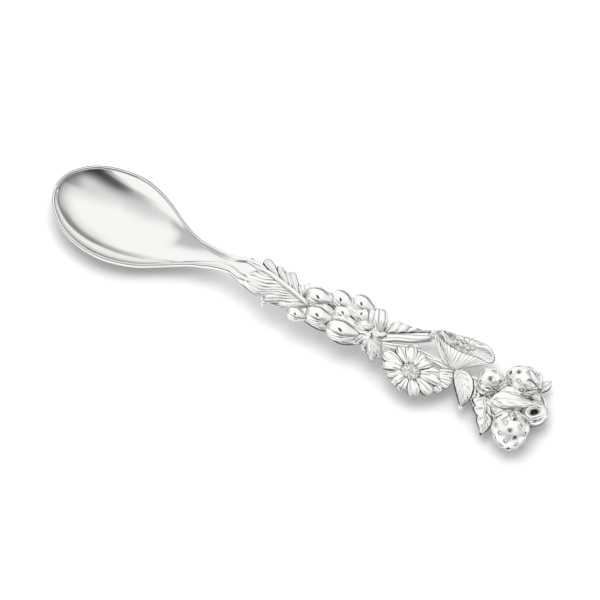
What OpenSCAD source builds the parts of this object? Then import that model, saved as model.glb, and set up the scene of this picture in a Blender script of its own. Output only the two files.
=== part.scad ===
// Spice spoon with a cast handle of leaves, fruit, blossoms and strawberries.
// Millimetres. Origin where the bowl rests on the table, X along the handle, Z up.

/* [Bowl] */
// From the rest point to the tip of the bowl
bowl_front = 13.6; // [10:0.1:20]
// From the rest point to the narrowest place of the neck
bowl_back = 25; // [18:0.1:36]
// Across the rim at the rest point
bowl_w = 18.8; // [14:0.1:26]
// Hollow below the rim at the rest point
bowl_depth = 4.4; // [3:0.1:7]
// Wall of the bowl
bowl_wall = 1; // [0.7:0.05:1.5]
// Roundness of the hollow, less gives steeper sides and a flatter middle
bowl_curve = 0.7; // [0.6:0.01:1]
// Flat ground off the round underside, as a depth
rest_depth = 0.12; // [0.05:0.01:0.3]
// Tip of the rim above the rim at the rest point
tip_rise = 1.2; // [0:0.1:3]
// Heel of the rim below the rim at the rest point
heel_drop = 1.1; // [0:0.1:2]
// From the rest point to the heel, where the rim is lowest
heel_x = 11.5; // [8:0.1:16]

/* [Neck] */
// Width at the narrowest place
neck_w = 3.2; // [2.4:0.1:5]
// Thickness at the narrowest place
neck_t = 1.9; // [1.4:0.1:3]
// From the narrowest place to the shoulder of the lap joint
neck_len = 3; // [2:0.1:10]
// Width at the shoulder of the lap joint
shoulder_w = 4.6; // [3:0.1:7]
// Top of the neck at the shoulder above the rim at the rest point
neck_rise = 3.6; // [1:0.1:8]
// Rounding of the top and bottom of the neck, as a height
neck_round = 0.3; // [0:0.05:0.6]
// Tongue of the neck that laps over the stem
tongue_len = 3.4; // [2:0.1:8]
// Thickness of the tongue
tongue_t = 0.5; // [0.3:0.05:1]

/* [Joints] */
// Film of solder between two pieces
solder_gap = 0.05; // [0.02:0.01:0.15]
// Peg under each cast piece
peg_d = 1; // [0.8:0.1:1.6]
// Depth of a peg in the stem
peg_len = 1.1; // [0.6:0.1:2]
// Space round a peg, on each side
peg_clear = 0.05; // [0.02:0.01:0.15]
// Stem left round a peg hole
pad_wall = 0.7; // [0.5:0.1:1.5]

/* [Stem] */
// Thickness of the stem
stem_t = 1.6; // [1.4:0.1:3]
// Slope of the handle down to its end
handle_tilt = 6; // [3:0.1:8]
// Width of the stem at the lap joint
stem_front_w = 3.4; // [2.4:0.1:5]
// Width of the stem under the fruit
stem_fruit_w = 7.2; // [5:0.1:10]
// Width of a branch
branch_w = 2.2; // [1.6:0.1:4]
// Diameter of the foot at the end
foot_d = 6; // [4:0.1:9]

/* [Leaves] */
// Length of the feathered leaf
feather_len = 13.4; // [9:0.1:20]
// Feathered leaf, reach of the short side
feather_short = 2.5; // [1.5:0.1:4]
// Feathered leaf, reach of the long side
feather_long = 4.6; // [3:0.1:7]
// Number of barbs on each side
feather_barbs = 6; // [4:1:9]
// Thickness of a leaf
leaf_t = 0.7; // [0.5:0.05:1.2]
// Length of the hanging leaf
hanging_len = 7; // [5:0.1:10]
// Width of the hanging leaf
hanging_w = 3.2; // [2:0.1:4.5]
// Length of the pointed leaf
pointed_len = 9.6; // [7:0.1:12]
// Width of the pointed leaf
pointed_w = 4; // [2.5:0.1:4.5]
// Length of the curled leaf on the upper branch
curled_len = 7.6; // [5:0.1:10]
// Width of the curled leaf
curled_w = 2.4; // [1.6:0.1:3.2]
// Diameter of the star leaf
star_d = 6.4; // [4:0.1:8]
// Length of the crown leaf between the strawberries
crown_len = 8.6; // [6:0.1:12]
// Width of the crown leaf
crown_w = 3.4; // [2:0.1:4.5]
// Length of the tip leaf
tip_len = 3.8; // [3:0.1:6]
// Width of the tip leaf
tip_w = 1.9; // [1.2:0.1:3]

/* [Fruit] */
// Length of a fruit, without its drawn-out stalk end
fruit_len = 3.8; // [3:0.1:6]
// Width of a fruit
fruit_w = 3.4; // [2.6:0.1:5]
// Drawn-out stalk end of a fruit
fruit_tail = 1; // [0.4:0.1:1.6]
// Length of the tulip bud
tulip_len = 4.4; // [3:0.1:6]
// Width of the tulip bud
tulip_w = 3.2; // [2.2:0.1:4.5]
// Length of the leaf bud
bud_len = 2.6; // [1.8:0.1:3.6]
// Width of the leaf bud
bud_w = 2; // [1.4:0.1:2.6]

/* [Daisy] */
// Across the petals
daisy_d = 12.2; // [9:0.1:16]
// Number of petals
daisy_petal_count = 12; // [8:1:16]
// Thickness of a petal
petal_t = 0.8; // [0.6:0.05:1.4]
// Diameter of the grained middle
daisy_centre_d = 4.6; // [3:0.1:7]
// Height of the grained middle
daisy_centre_h = 1.1; // [0.6:0.1:2]

/* [Trumpet flower] */
// Across the mouth
trumpet_w = 13.2; // [9:0.1:17]
// Height of the mouth
trumpet_mouth = 5.4; // [3.5:0.1:8]
// From the stalk end to the middle of the mouth, seen from above
trumpet_len = 6; // [4:0.1:9]
// Diameter at the stalk end
trumpet_base_d = 2; // [1.6:0.1:3]
// Depth of the hollow in the mouth
trumpet_hollow = 1.6; // [0.8:0.1:2.4]
// Diameter of the pistil
pistil_d = 1.3; // [0.8:0.1:2]

/* [Strawberries] */
// Length of the left strawberry
berry_len = 7; // [5:0.1:9]
// Width of the left strawberry
berry_w = 6; // [4.5:0.1:8]
// Diameter of the right strawberry
berry_right_d = 7.2; // [5:0.1:9]
// Diameter of the small strawberry
berry_small_d = 4.9; // [3.5:0.1:6.5]
// Diameter of the strawberry at the end
berry_end_d = 5; // [3.5:0.1:6]
// Height of a strawberry as a share of its width
berry_flat = 0.86; // [0.7:0.01:1]
// Depth of the pits
pit_depth = 0.22; // [0.1:0.02:0.4]
// Thickness of the sepals
sepal_t = 0.45; // [0.3:0.05:0.8]

/* [View] */
// One piece by name, or all

/* [Hidden] */

SILVER = [0.86, 0.86, 0.87];
SATIN = [0.78, 0.78, 0.79];

// Heights and places that follow from the sizes
rim_z = bowl_depth + bowl_wall - rest_depth;
shoulder_x = bowl_back + neck_len;
seat_z = rim_z + neck_rise - tongue_t - solder_gap;
feather_lift = tongue_t + 2 * solder_gap;
feather_start = 0.5;
fruit_start = feather_start + feather_len;
fruit_end = fruit_start + 4.6 * fruit_len;

// Fruit: place along and across in fruit sizes, size, heading of the stalk end
FRUITS = [
    [0.53, 0.53, 1, -40],
    [-0.5, -1.06, 0.8, 16],
    [0.7, -0.78, 1.16, 14],
    [1.5, 1.04, 1.06, -30],
    [1.86, 0.06, 0.84, -8],
    [2.14, -0.96, 1.32, 8],
    [2.52, 1.5, 1.04, -30],
    [2.82, 0.44, 0.92, -62]];
function fruit_at(k) = [fruit_start + FRUITS[k][0] * fruit_len, FRUITS[k][1] * fruit_w];

bud_at = [fruit_start - 0.55 * fruit_len, feather_short + 0.1];
tulip_at = [fruit_start + 3.78 * fruit_len, 0.74 * fruit_w];
star_at = [fruit_start + 3.95 * fruit_len, -0.8 * fruit_w];
curled_at = [fruit_end - 0.6, 1.02 * fruit_w];
daisy_at = [fruit_end + daisy_d / 2 + 0.5, -0.27 * daisy_d];
trumpet_at = [daisy_at.x + daisy_d / 2 + trumpet_base_d / 2, 0.9];
hanging_at = [trumpet_at.x + 2.1, trumpet_at.y - 0.1];
small_at = [trumpet_at.x + trumpet_w / 2 + 0.7, 2.6];
pointed_at = [small_at.x + 0.6, 2.6 - berry_small_d / 2 - 0.8];
left_at = [small_at.x + (berry_small_d + berry_len) / 2 - 0.35, 0.89 * berry_w];
right_at = [left_at.x + 0.38 * berry_right_d, left_at.y - berry_w / 2 - berry_right_d / 2 - 4];
end_at = [left_at.x + 0.68 * berry_len, left_at.y - 0.76 * berry_w];
crown_at = [left_at.x - 0.2, left_at.y - berry_w / 2 - 2];
tip_at = [left_at.x + berry_len / 2 + 0.9, left_at.y + 0.3];
foot_at = [left_at.x + 2.2, 0.5];

SEATS = concat([for (k = [0:len(FRUITS) - 1]) fruit_at(k)],
    [bud_at, tulip_at, star_at, curled_at, daisy_at, trumpet_at, hanging_at, small_at,
     pointed_at, left_at, right_at, end_at, crown_at, tip_at]);

// Blends between 0 and 1 without a kink at either end
function ease(t) = let (c = min(1, max(0, t))) c * c * (3 - 2 * c);
function mix(a, b, t) = a + (b - a) * t;

// Smooth line through points
function spline_at(p, i, t) = let (
    a = p[max(0, i - 1)], b = p[i], c = p[i + 1], d = p[min(len(p) - 1, i + 2)])
    0.5 * (2 * b + (c - a) * t + (2 * a - 5 * b + 4 * c - d) * t * t
        + (3 * b - a - 3 * c + d) * t * t * t);
function spline(p, n) = concat(
    [for (i = [0:len(p) - 2], k = [0:n - 1]) spline_at(p, i, k / n)], [p[len(p) - 1]]);

// Outline of a strip along a smooth line, points are [along, across, width]
function strip(p, n) = let (
    c = spline(p, n), e = len(c) - 1,
    side = [for (i = [0:e]) let (
        d = c[min(e, i + 1)] - c[max(0, i - 1)], l = norm([d.x, d.y]))
        [-d.y, d.x] / l * c[i].z / 2])
    concat([for (i = [0:e]) [c[i].x, c[i].y] + side[i]],
        [for (i = [e:-1:0]) [c[i].x, c[i].y] - side[i]]);

// Solid between an upper and a lower grid of points
module between(top, bottom) {
    r = len(top);
    c = len(top[0]);
    b = r * c;
    across = [for (i = [0:r - 2], j = [0:c - 2]) each let (p = i * c + j, q = b + p)
        [[p, p + 1, p + c + 1], [p, p + c + 1, p + c], [q, q + c + 1, q + 1], [q, q + c, q + c + 1]]];
    sides = [for (i = [0:r - 2]) each let (p = i * c, q = p + c - 1)
        [[p, p + c, b + p + c], [p, b + p + c, b + p], [q + c, q, b + q], [q + c, b + q, b + q + c]]];
    ends = [for (j = [0:c - 2]) each let (p = j, q = (r - 1) * c + j)
        [[p + 1, p, b + p], [p + 1, b + p, b + p + 1], [q, q + 1, b + q + 1], [q, b + q + 1, b + q]]];
    polyhedron(points = [for (g = [top, bottom], row = g) each row],
        faces = concat(across, sides, ends), convexity = 8);
}

// Solid through closed rings, with both ends closed
module loft(rings) {
    m = len(rings);
    n = len(rings[0]);
    walls = [for (i = [0:m - 2], j = [0:n - 1]) each let (
        p = i * n + j, q = i * n + (j + 1) % n)
        [[p + n, q + n, q], [p + n, q, p]]];
    first = [for (j = [1:n - 2]) [0, j, j + 1]];
    last = [for (j = [1:n - 2]) let (s = (m - 1) * n) [s, s + j + 1, s + j]];
    polyhedron(points = [for (ring = rings) each ring], faces = concat(walls, first, last),
        convexity = 8);
}

// Place on the top of the stem
module on_stem(at) {
    translate([shoulder_x + solder_gap + stem_t * sin(handle_tilt), 0, seat_z])
        rotate([0, handle_tilt, 0])
            translate([at.x, at.y, solder_gap])
                children();
}

// Peg below a seat, which reaches up into the piece
module peg(reach) {
    translate([0, 0, -solder_gap - peg_len])
        cylinder(d = peg_d, h = peg_len + solder_gap + reach, $fn = 24);
}

// Bowl and neck
function half_w(x) = x < 0
    ? bowl_w / 2 * sqrt(max(0.0004, 1 - pow(x / bowl_front, 2)))
    : x < bowl_back
    ? mix(neck_w, bowl_w, pow((1 + cos(180 * x / bowl_back)) / 2, 1.2)) / 2
    : x < shoulder_x
    ? mix(neck_w, shoulder_w, ease((x - bowl_back) / neck_len)) / 2
    : mix(shoulder_w, 0.5 * shoulder_w, (x - shoulder_x) / tongue_len) / 2;
function line_z(x) = x < 0
    ? rim_z + tip_rise * pow(x / bowl_front, 2)
    : x < heel_x
    ? rim_z - heel_drop * ease(x / heel_x)
    : x < shoulder_x
    ? rim_z - heel_drop + (heel_drop + neck_rise) * ease((x - heel_x) / (shoulder_x - heel_x))
    : rim_z + neck_rise - (x - shoulder_x) * tan(handle_tilt);
function hollow(x) = bowl_depth * pow(x < 0 ? 2 * half_w(x) / bowl_w
    : x < bowl_back ? (2 * half_w(x) - neck_w) / (bowl_w - neck_w) : 0, 2 * bowl_curve);
function neck_share(x) = ease((x - heel_x) / (bowl_back - heel_x));
function inside_z(x, s) = line_z(x) - hollow(x) * pow(max(0, 1 - s * s), bowl_curve)
    - neck_round * neck_share(x) * s * s;
function underside_z(x, s) = x >= shoulder_x
    ? line_z(x) - tongue_t
    : max(0, inside_z(x, s) - mix(bowl_wall, neck_t, neck_share(x))
        + 2 * neck_round * neck_share(x) * s * s);
BOWL_S = [for (j = [0:16]) sin(90 * (j / 8 - 1))];
BOWL_X = concat([for (i = [0:12]) -bowl_front * cos(90 * i / 13)],
    [for (i = [0:17]) bowl_back * i / 18],
    [for (i = [0:2]) bowl_back + neck_len * i / 3],
    [shoulder_x - 0.01, shoulder_x, shoulder_x + tongue_len / 2, shoulder_x + tongue_len]);

module bowl() {
    color(SILVER)
        between(
            [for (x = BOWL_X) [for (s = BOWL_S) [x, s * half_w(x), inside_z(x, s)]]],
            [for (x = BOWL_X) [for (s = BOWL_S) [x, s * half_w(x), underside_z(x, s)]]]);
}

// Stem with its branches, in the plane of the handle
module stem_outline() {
    polygon(strip([[0, 0, stem_front_w], [0.5 * fruit_start, 0.2, stem_front_w],
        [fruit_start, -0.2, 0.75 * stem_fruit_w], [mix(fruit_start, fruit_end, 0.5), 0.4, stem_fruit_w],
        [fruit_end - 1, 0, 2 * branch_w]], 5));
    polygon(strip([[fruit_end - 2.6, 0.8, branch_w], [curled_at.x, curled_at.y, branch_w],
        [mix(fruit_end, daisy_at.x, 0.72), 5.2, 0.8 * branch_w],
        [daisy_at.x, 6.2, 0.8 * branch_w]], 5));
    polygon(strip([[fruit_end - 2, 0, branch_w], [mix(fruit_end, daisy_at.x, 0.5), -1.2, branch_w],
        [daisy_at.x, daisy_at.y, 2 * branch_w],
        [mix(daisy_at.x, trumpet_at.x, 0.62), -1.1, branch_w],
        [trumpet_at.x, trumpet_at.y, branch_w], [small_at.x, small_at.y - 1, branch_w],
        [foot_at.x, foot_at.y, 1.4 * branch_w]], 5));
    polygon(strip([[mix(small_at.x, foot_at.x, 0.5), 1, branch_w], [left_at.x, left_at.y, branch_w],
        [tip_at.x, tip_at.y, 0.8 * branch_w]], 4));
    polygon(strip([[foot_at.x, foot_at.y, branch_w], [right_at.x, right_at.y, branch_w]], 1));
    polygon(strip([[foot_at.x, foot_at.y, branch_w], [end_at.x, end_at.y, branch_w]], 1));
    polygon(strip([[small_at.x, small_at.y - 1, branch_w], [pointed_at.x, pointed_at.y, branch_w]], 1));
    translate([daisy_at.x, 6.2])
        circle(d = branch_w, $fn = 24);
    for (at = SEATS)
        translate(at)
            circle(d = peg_d + 2 * peg_clear + 2 * pad_wall, $fn = 24);
}

module stem() {
    color(SATIN)
        difference() {
            on_stem([0, 0])
                translate([0, 0, -stem_t - solder_gap])
                    difference() {
                        union() {
                            linear_extrude(stem_t)
                                stem_outline();
                            translate([foot_at.x, foot_at.y, -1.5])
                                cylinder(d = foot_d, h = 1.5 + stem_t / 2, $fn = 48);
                        }
                        for (at = SEATS)
                            translate([at.x, at.y, stem_t - peg_len - peg_clear])
                                cylinder(d = peg_d + 2 * peg_clear, h = peg_len + 1, $fn = 24);
                    }
            translate([shoulder_x, -30, -20])
                cube([200, 60, 20]);
        }
}

// Leaf as a bent sheet along X from its stalk end, with teeth, a fold and a bend
module leaf(length, width, thick, bend, fold, teeth) {
    n = max(10, 3 * teeth);
    S = [for (i = [0:n]) i / n];
    Q = [-1, -0.6, -0.2, 0, 0.2, 0.6, 1];
    function reach(s, i) = width / 2 * max(0.09, pow(sin(180 * pow(mix(0.06, 1, s), 0.8)), 0.8))
        * (teeth > 0 && i % 3 == 2 ? 0.82 : 1);
    function top(s, q) = thick + bend * s * s + fold * abs(q) * sin(180 * s)
        + (q == 0 ? 0.25 * thick : 0) - 0.35 * thick * q * q;
    function low(s, q) = max(0, bend * s * s + fold * abs(q) * sin(180 * s));
    between(
        [for (i = [0:n]) [for (q = Q) [S[i] * length, q * reach(S[i], i), top(S[i], q)]]],
        [for (i = [0:n]) [for (q = Q) [S[i] * length, q * reach(S[i], i), low(S[i], q)]]]);
}

// Feathered leaf, its tip towards the bowl
module feather_leaf() {
    n = 6 * feather_barbs;
    Q = [-1, -0.75, -0.5, -0.25, 0, 0.3, 0.65, 1];
    function tooth(i) = [0.62, 0.84, 1, 1, 0.9, 0.45][i % 6];
    function arc(s) = pow(sin(180 * mix(0.1, 0.98, s)), 0.6);
    function across(i, q) = q * (q < 0 ? feather_long : feather_short) * arc(i / n) * tooth(i);
    function spot(i, q) = [
        fruit_start - 0.6 - (feather_len - 2) * i / n - (q < 0 ? 0.9 : 0.5) * abs(across(i, q)),
        mix(-0.5, 2.1, i / n) + across(i, q)];
    function top(i, q) = leaf_t + 0.5 * leaf_t * (1 - abs(q)) + 0.3 * (tooth(i) - 0.6)
        + (q == 0 ? 0.35 : 0);
    color(SILVER)
        on_stem([0, 0])
            translate([0, 0, feather_lift])
                union() {
                    between(
                        [for (i = [n:-1:0]) [for (q = Q) [spot(i, q).x, spot(i, q).y, top(i, q)]]],
                        [for (i = [n:-1:0]) [for (q = Q) [spot(i, q).x, spot(i, q).y, 0]]]);
                    translate([fruit_start - 3.4, -0.2, -feather_lift])
                        cylinder(d = 1.6, h = feather_lift + 0.4, $fn = 24);
                }
}

// Body with lobes round an upright axis, its height profile is [radius share, height share]
module lobed(width, height, lobes, depth, profile) {
    n = 24;
    loft([for (p = profile) [for (j = [0:n - 1]) let (
        a = 360 * j / n, r = width / 2 * p[0] * (1 - depth * (1 + cos(lobes * a)) / 2))
        [r * cos(a), r * sin(a), height * p[1]]]]);
}

module leaf_bud() {
    color(SILVER)
        on_stem(bud_at) {
            rotate([0, 0, 35])
                scale([bud_len / bud_w, 1, 1])
                    lobed(bud_w, 1.1 * bud_w, 2, 0.25,
                        [[0.35, 0], [0.75, 0.12], [0.98, 0.4], [0.9, 0.66], [0.55, 0.9], [0.2, 1]]);
            peg(0.5);
        }
}

// Half outline of a fruit from the stalk end: [radius share, length share]
DROP = [[0, -1], [0.16, -1], [0.3, -0.45], [0.52, 0], [0.8, 0.16], [0.97, 0.36], [1, 0.52],
    [0.94, 0.7], [0.76, 0.86], [0.48, 0.96], [0, 1]];

module fruit(k) {
    s = FRUITS[k][2];
    color(SILVER)
        on_stem(fruit_at(k))
            union() {
                translate([0, 0, fruit_w * s / 2])
                    rotate([0, -90, FRUITS[k][3]])
                        translate([0, 0, -0.52 * fruit_len * s])
                            rotate_extrude($fn = 40)
                                polygon([for (p = DROP) [p[0] * fruit_w * s / 2,
                                    p[1] * (p[1] < 0 ? fruit_tail : fruit_len * s)]]);
                peg(0.35 * fruit_w * s);
            }
}

module tulip_bud() {
    color(SILVER)
        on_stem(tulip_at) {
            translate([0, 0, tulip_w / 2])
                rotate([0, 0, 70])
                    rotate([0, 90, 0])
                        translate([0, 0, -tulip_len / 2])
                            lobed(tulip_w, tulip_len, 6, 0.14,
                                [[0.3, 0], [0.72, 0.1], [0.98, 0.34], [1, 0.55], [0.86, 0.8], [0.5, 1]]);
            peg(0.4 * tulip_w);
        }
}

// Star leaf with five lobes and a dished top
module star_leaf() {
    n = 40;
    function reach(a) = star_d / 2 * mix(0.56, 1, pow((1 + cos(5 * a)) / 2, 1.3));
    function ring(f, z) = [for (j = [0:n - 1]) let (a = 360 * j / n)
        [f * reach(a) * cos(a), f * reach(a) * sin(a), z + 0.22 * f * (cos(5 * a) - 1) / 2]];
    color(SILVER)
        on_stem(star_at) {
            translate([0, 0, 0.25])
                rotate([0, 0, -52])
                    loft([ring(0.42, 0), ring(0.98, 0.1), ring(1, 0.4), ring(0.7, 0.35 + leaf_t),
                        ring(0.35, 0.15 + leaf_t), ring(0.1, 0.3 + leaf_t)]);
            peg(0.6);
        }
}

module curled_leaf() {
    color(SILVER)
        on_stem(curled_at) {
            translate([-0.8, -0.4, 0])
                rotate([0, 0, 24])
                    leaf(curled_len, curled_w, leaf_t, 0.6, 0.9, 4);
            peg(0.4);
        }
}

module hanging_leaf() {
    color(SILVER)
        on_stem(hanging_at) {
            rotate([0, 0, -64])
                translate([-0.7, 0, 0])
                    leaf(hanging_len, hanging_w, leaf_t, 0.5, 0.5, 0);
            peg(0.4);
        }
}

module pointed_leaf() {
    color(SILVER)
        on_stem(pointed_at) {
            rotate([0, 0, -74])
                translate([-1, 0, 0])
                    leaf(pointed_len, pointed_w, leaf_t, 1, 0.7, 0);
            peg(0.4);
        }
}

// Daisy: petals drilled in the middle, where the stud of the grained centre goes through
module daisy_petals() {
    n = 6 * daisy_petal_count;
    function lobe(j) = [0.82, 0.95, 1, 0.98, 1, 0.95][j % 6];
    function groove(j) = [-0.35, 0, 0.1, -0.12, 0.1, 0][j % 6];
    function ring(f, z, g) = [for (j = [0:n - 1]) let (
        a = 360 * j / n, r = daisy_d / 2 * (f > 0.8 ? f * lobe(j) : f))
        [r * cos(a), 0.82 * r * sin(a), z + g * groove(j)]];
    color(SILVER)
        on_stem(daisy_at)
            difference() {
                loft([ring(0.2, 0, 0), ring(0.9, 0, 0), ring(1, 0.25, 0), ring(0.93, petal_t, 0.8),
                    ring(0.68, petal_t + 0.35, 1), ring(0.44, petal_t + 0.1, 0.5),
                    ring(0.4, petal_t, 0), ring(0.2, petal_t, 0)]);
                translate([0, 0, -1])
                    cylinder(d = peg_d + 2 * peg_clear, h = petal_t + 3, $fn = 24);
            }
}

module daisy_centre() {
    r = daisy_centre_d / 2;
    color(SATIN)
        on_stem(daisy_at)
            union() {
                translate([0, 0, petal_t + solder_gap])
                    rotate_extrude($fn = 48)
                        polygon(concat([[0, 0]], [for (i = [0:6])
                            [r * cos(15 * i), 0.15 + (daisy_centre_h - 0.15) * sin(15 * i)]]
                            , [[0, 0.15 + daisy_centre_h - 0.15]]));
                peg(petal_t + solder_gap + 0.3);
            }
}

// Trumpet flower, its mouth turned up and back
TRUMPET_UP = 40;
function trumpet_mid(t) = [-0.2 * t, trumpet_len * t,
    mix(trumpet_base_d / 2, 0.5 + trumpet_mouth / 2 * cos(TRUMPET_UP), pow(t, 0.8))];
function trumpet_ring(t, f, ruffle) = let (
    a0 = f * mix(trumpet_base_d, trumpet_w, pow(t, 1.05)) / 2,
    b0 = f * mix(trumpet_base_d, trumpet_mouth, t) / 2,
    c = trumpet_mid(t), up = mix(0, TRUMPET_UP, t), n = 40)
    [for (j = [0:n - 1]) let (a = 360 * j / n, k = 1 + ruffle * cos(10 * a))
        c + [a0 * k * cos(a), b0 * k * sin(a) * sin(up), -b0 * k * sin(a) * cos(up)]];
function sunk(ring, d) = [for (p = ring) p - d * [0, cos(TRUMPET_UP), sin(TRUMPET_UP)]];

module trumpet_flower() {
    color(SILVER)
        on_stem(trumpet_at) {
            loft([trumpet_ring(0, 0.7, 0), trumpet_ring(0.06, 1, 0), trumpet_ring(0.25, 0.92, 0.03),
                trumpet_ring(0.5, 0.92, 0.05), trumpet_ring(0.75, 0.95, 0.06), trumpet_ring(1, 1, 0.06),
                trumpet_ring(1, 0.86, 0.05), sunk(trumpet_ring(1, 0.52, 0.02), 0.6 * trumpet_hollow),
                sunk(trumpet_ring(1, 0.3, 0), trumpet_hollow)]);
            peg(0.6 * trumpet_base_d);
        }
}

module trumpet_pistil() {
    color(SATIN)
        on_stem(trumpet_at)
            translate(trumpet_mid(1))
                rotate([-(90 - TRUMPET_UP), 0, 0])
                    translate([0, 0, -trumpet_hollow + solder_gap])
                        union() {
                            cylinder(d = 0.7 * pistil_d, h = trumpet_hollow, $fn = 24);
                            translate([0, 0, trumpet_hollow])
                                sphere(d = pistil_d, $fn = 24);
                        }
}

// Strawberry along Z, its stalk end up, with pits in staggered rows
function berry_point(w, l, turn, around, out) = [
    (w / 2 + out) * sin(turn) * (1 + 0.1 * cos(turn)) * cos(around),
    (w / 2 + out) * sin(turn) * (1 + 0.1 * cos(turn)) * sin(around),
    (l / 2 + out) * cos(turn)];
module berry(w, l) {
    rows = 12;
    n = 20;
    loft([for (k = [0:rows]) let (turn = mix(172, 8, k / rows))
        [for (j = [0:n - 1]) let (
            pit = k > 0 && k < rows && k % 2 == 1 && (j + k) % 4 == 0)
            berry_point(w, l, turn, 360 * j / n, pit ? -pit_depth : 0)]]);
}

// Sepals that lie on the stalk end of a strawberry
module calyx(w, l, count) {
    n = 6 * count;
    function turn(j, f) = f * [22, 34, 46, 52, 46, 34][j % 6];
    function ring(f, out) = [for (j = [0:n - 1]) berry_point(w, l, turn(j, f), 360 * j / n, out)];
    under = solder_gap + 0.06;
    loft([ring(0.12, under), ring(0.5, under), ring(0.98, under),
        ring(1, under + 0.6 * sepal_t), ring(0.5, under + sepal_t), ring(0.12, under + sepal_t)]);
}

// A strawberry lies on its side on the stem, the stalk end towards the heading
module lying(width, heading, dip) {
    scale([1, 1, berry_flat])
        translate([0, 0, width / 2])
            rotate([0, 0, heading])
                rotate([0, dip, 0])
                    children();
}

module berry_small() {
    color(SILVER)
        on_stem(small_at) {
            lying(berry_small_d, -40, 70)
                berry(berry_small_d, berry_small_d);
            peg(0.3 * berry_small_d);
        }
}

module berry_left() {
    color(SILVER)
        on_stem(left_at) {
            lying(berry_w, -8, 72)
                berry(berry_w, berry_len);
            peg(0.3 * berry_w);
        }
}

module berry_right() {
    color(SILVER)
        on_stem(right_at) {
            lying(berry_right_d, 112, 64)
                berry(berry_right_d, 1.02 * berry_right_d);
            peg(0.3 * berry_right_d);
        }
}

module berry_end() {
    color(SILVER)
        on_stem(end_at) {
            lying(berry_end_d, 170, 72)
                berry(berry_end_d, 1.06 * berry_end_d);
            peg(0.3 * berry_end_d);
        }
}

module calyx_small() {
    color(SATIN)
        on_stem(small_at)
            lying(berry_small_d, -40, 70)
                calyx(berry_small_d, berry_small_d, 6);
}

module calyx_left() {
    color(SATIN)
        on_stem(left_at)
            lying(berry_w, -8, 72)
                calyx(berry_w, berry_len, 6);
}

module calyx_right() {
    color(SATIN)
        on_stem(right_at)
            lying(berry_right_d, 112, 64)
                calyx(berry_right_d, 1.02 * berry_right_d, 7);
}

module crown_leaf() {
    rise = berry_flat * berry_end_d + 0.15;
    color(SILVER)
        on_stem(crown_at)
            union() {
                translate([0, 0, rise])
                    translate([-0.3 * crown_len, 0, 0])
                        leaf(crown_len, crown_w, leaf_t, 0.5, 0.3, 0);
                peg(rise + 0.4);
            }
}

module tip_leaf() {
    color(SILVER)
        on_stem(tip_at) {
            rotate([0, 0, 72])
                translate([-0.8, 0, 0])
                    leaf(tip_len, tip_w, leaf_t, 1.6, 0.3, 0);
            peg(0.4);
        }
}

bowl();
stem();
feather_leaf();
leaf_bud();
fruit(0);  // fruit_1
fruit(1);  // fruit_2
fruit(2);  // fruit_3
fruit(3);  // fruit_4
fruit(4);  // fruit_5
fruit(5);  // fruit_6
fruit(6);  // fruit_7
fruit(7);  // fruit_8
tulip_bud();
star_leaf();
curled_leaf();
daisy_petals();
daisy_centre();
trumpet_flower();
trumpet_pistil();
hanging_leaf();
pointed_leaf();
berry_small();
berry_left();
berry_right();
berry_end();
calyx_small();
calyx_left();
calyx_right();
crown_leaf();
tip_leaf();
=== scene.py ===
"""Spice spoon: a polished silver bowl on a handle of cast leaves, buds, blossoms and strawberries."""

from math import acos, atan2, copysign, cos, degrees, exp, hypot, pi, radians, sin, sqrt, tan

import bmesh
import bpy
from mathutils import Matrix, Vector
from mathutils.kdtree import KDTree


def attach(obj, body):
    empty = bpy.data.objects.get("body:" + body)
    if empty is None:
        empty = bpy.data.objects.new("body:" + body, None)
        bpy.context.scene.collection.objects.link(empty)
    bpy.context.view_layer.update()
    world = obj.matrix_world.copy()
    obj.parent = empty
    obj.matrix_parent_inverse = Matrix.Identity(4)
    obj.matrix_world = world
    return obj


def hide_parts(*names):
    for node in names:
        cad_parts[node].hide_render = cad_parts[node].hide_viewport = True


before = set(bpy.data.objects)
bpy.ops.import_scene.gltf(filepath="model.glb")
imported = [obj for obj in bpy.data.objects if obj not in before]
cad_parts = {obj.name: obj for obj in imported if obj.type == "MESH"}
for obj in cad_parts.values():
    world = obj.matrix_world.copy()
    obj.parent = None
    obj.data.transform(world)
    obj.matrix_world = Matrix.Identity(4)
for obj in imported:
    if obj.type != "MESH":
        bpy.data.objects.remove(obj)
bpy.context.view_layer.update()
scene = bpy.context.scene

UP = Vector((0, 0, 1))
# Turn from one grain or pit to the next, which spreads them evenly
SPIRAL_TURN = 2.39996

# Sizes in millimetres, the same as the solids
MM = 0.001
BOWL_FRONT = 13.6
BOWL_BACK = 25.0
BOWL_W = 18.8
BOWL_DEPTH = 4.4
BOWL_CURVE = 0.7
WALL = 1.0
RIM_Z = 5.28
TIP_RISE = 1.2
HEEL_DROP = 1.1
HEEL_X = 11.5
NECK_W = 3.2
NECK_T = 1.9
NECK_LEN = 3.0
SHOULDER_W = 4.6
NECK_RISE = 3.6
TONGUE_LEN = 3.4
TONGUE_T = 0.5
SOLDER = 0.05
STEM_T = 1.6
TILT = radians(6)
SHOULDER_X = BOWL_BACK + NECK_LEN
SEAT = Vector((SHOULDER_X + SOLDER + STEM_T * sin(TILT), 0, RIM_Z + NECK_RISE - TONGUE_T - SOLDER))

FEATHER_LEN = 13.4
FRUIT_LEN = 3.8
FRUIT_W = 3.4
FRUIT_START = 0.5 + FEATHER_LEN
FRUIT_END = FRUIT_START + 4.6 * FRUIT_LEN
DAISY_D = 12.2
TRUMPET_W = 13.2
TRUMPET_BASE = 2.0
BERRY_LEN = 7.0
BERRY_W = 6.0
BERRY_RIGHT = 7.2
BERRY_SMALL = 4.9
BERRY_END = 5.0
BERRY_FLAT = 0.86
BERRY_TAPER = 0.17

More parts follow.
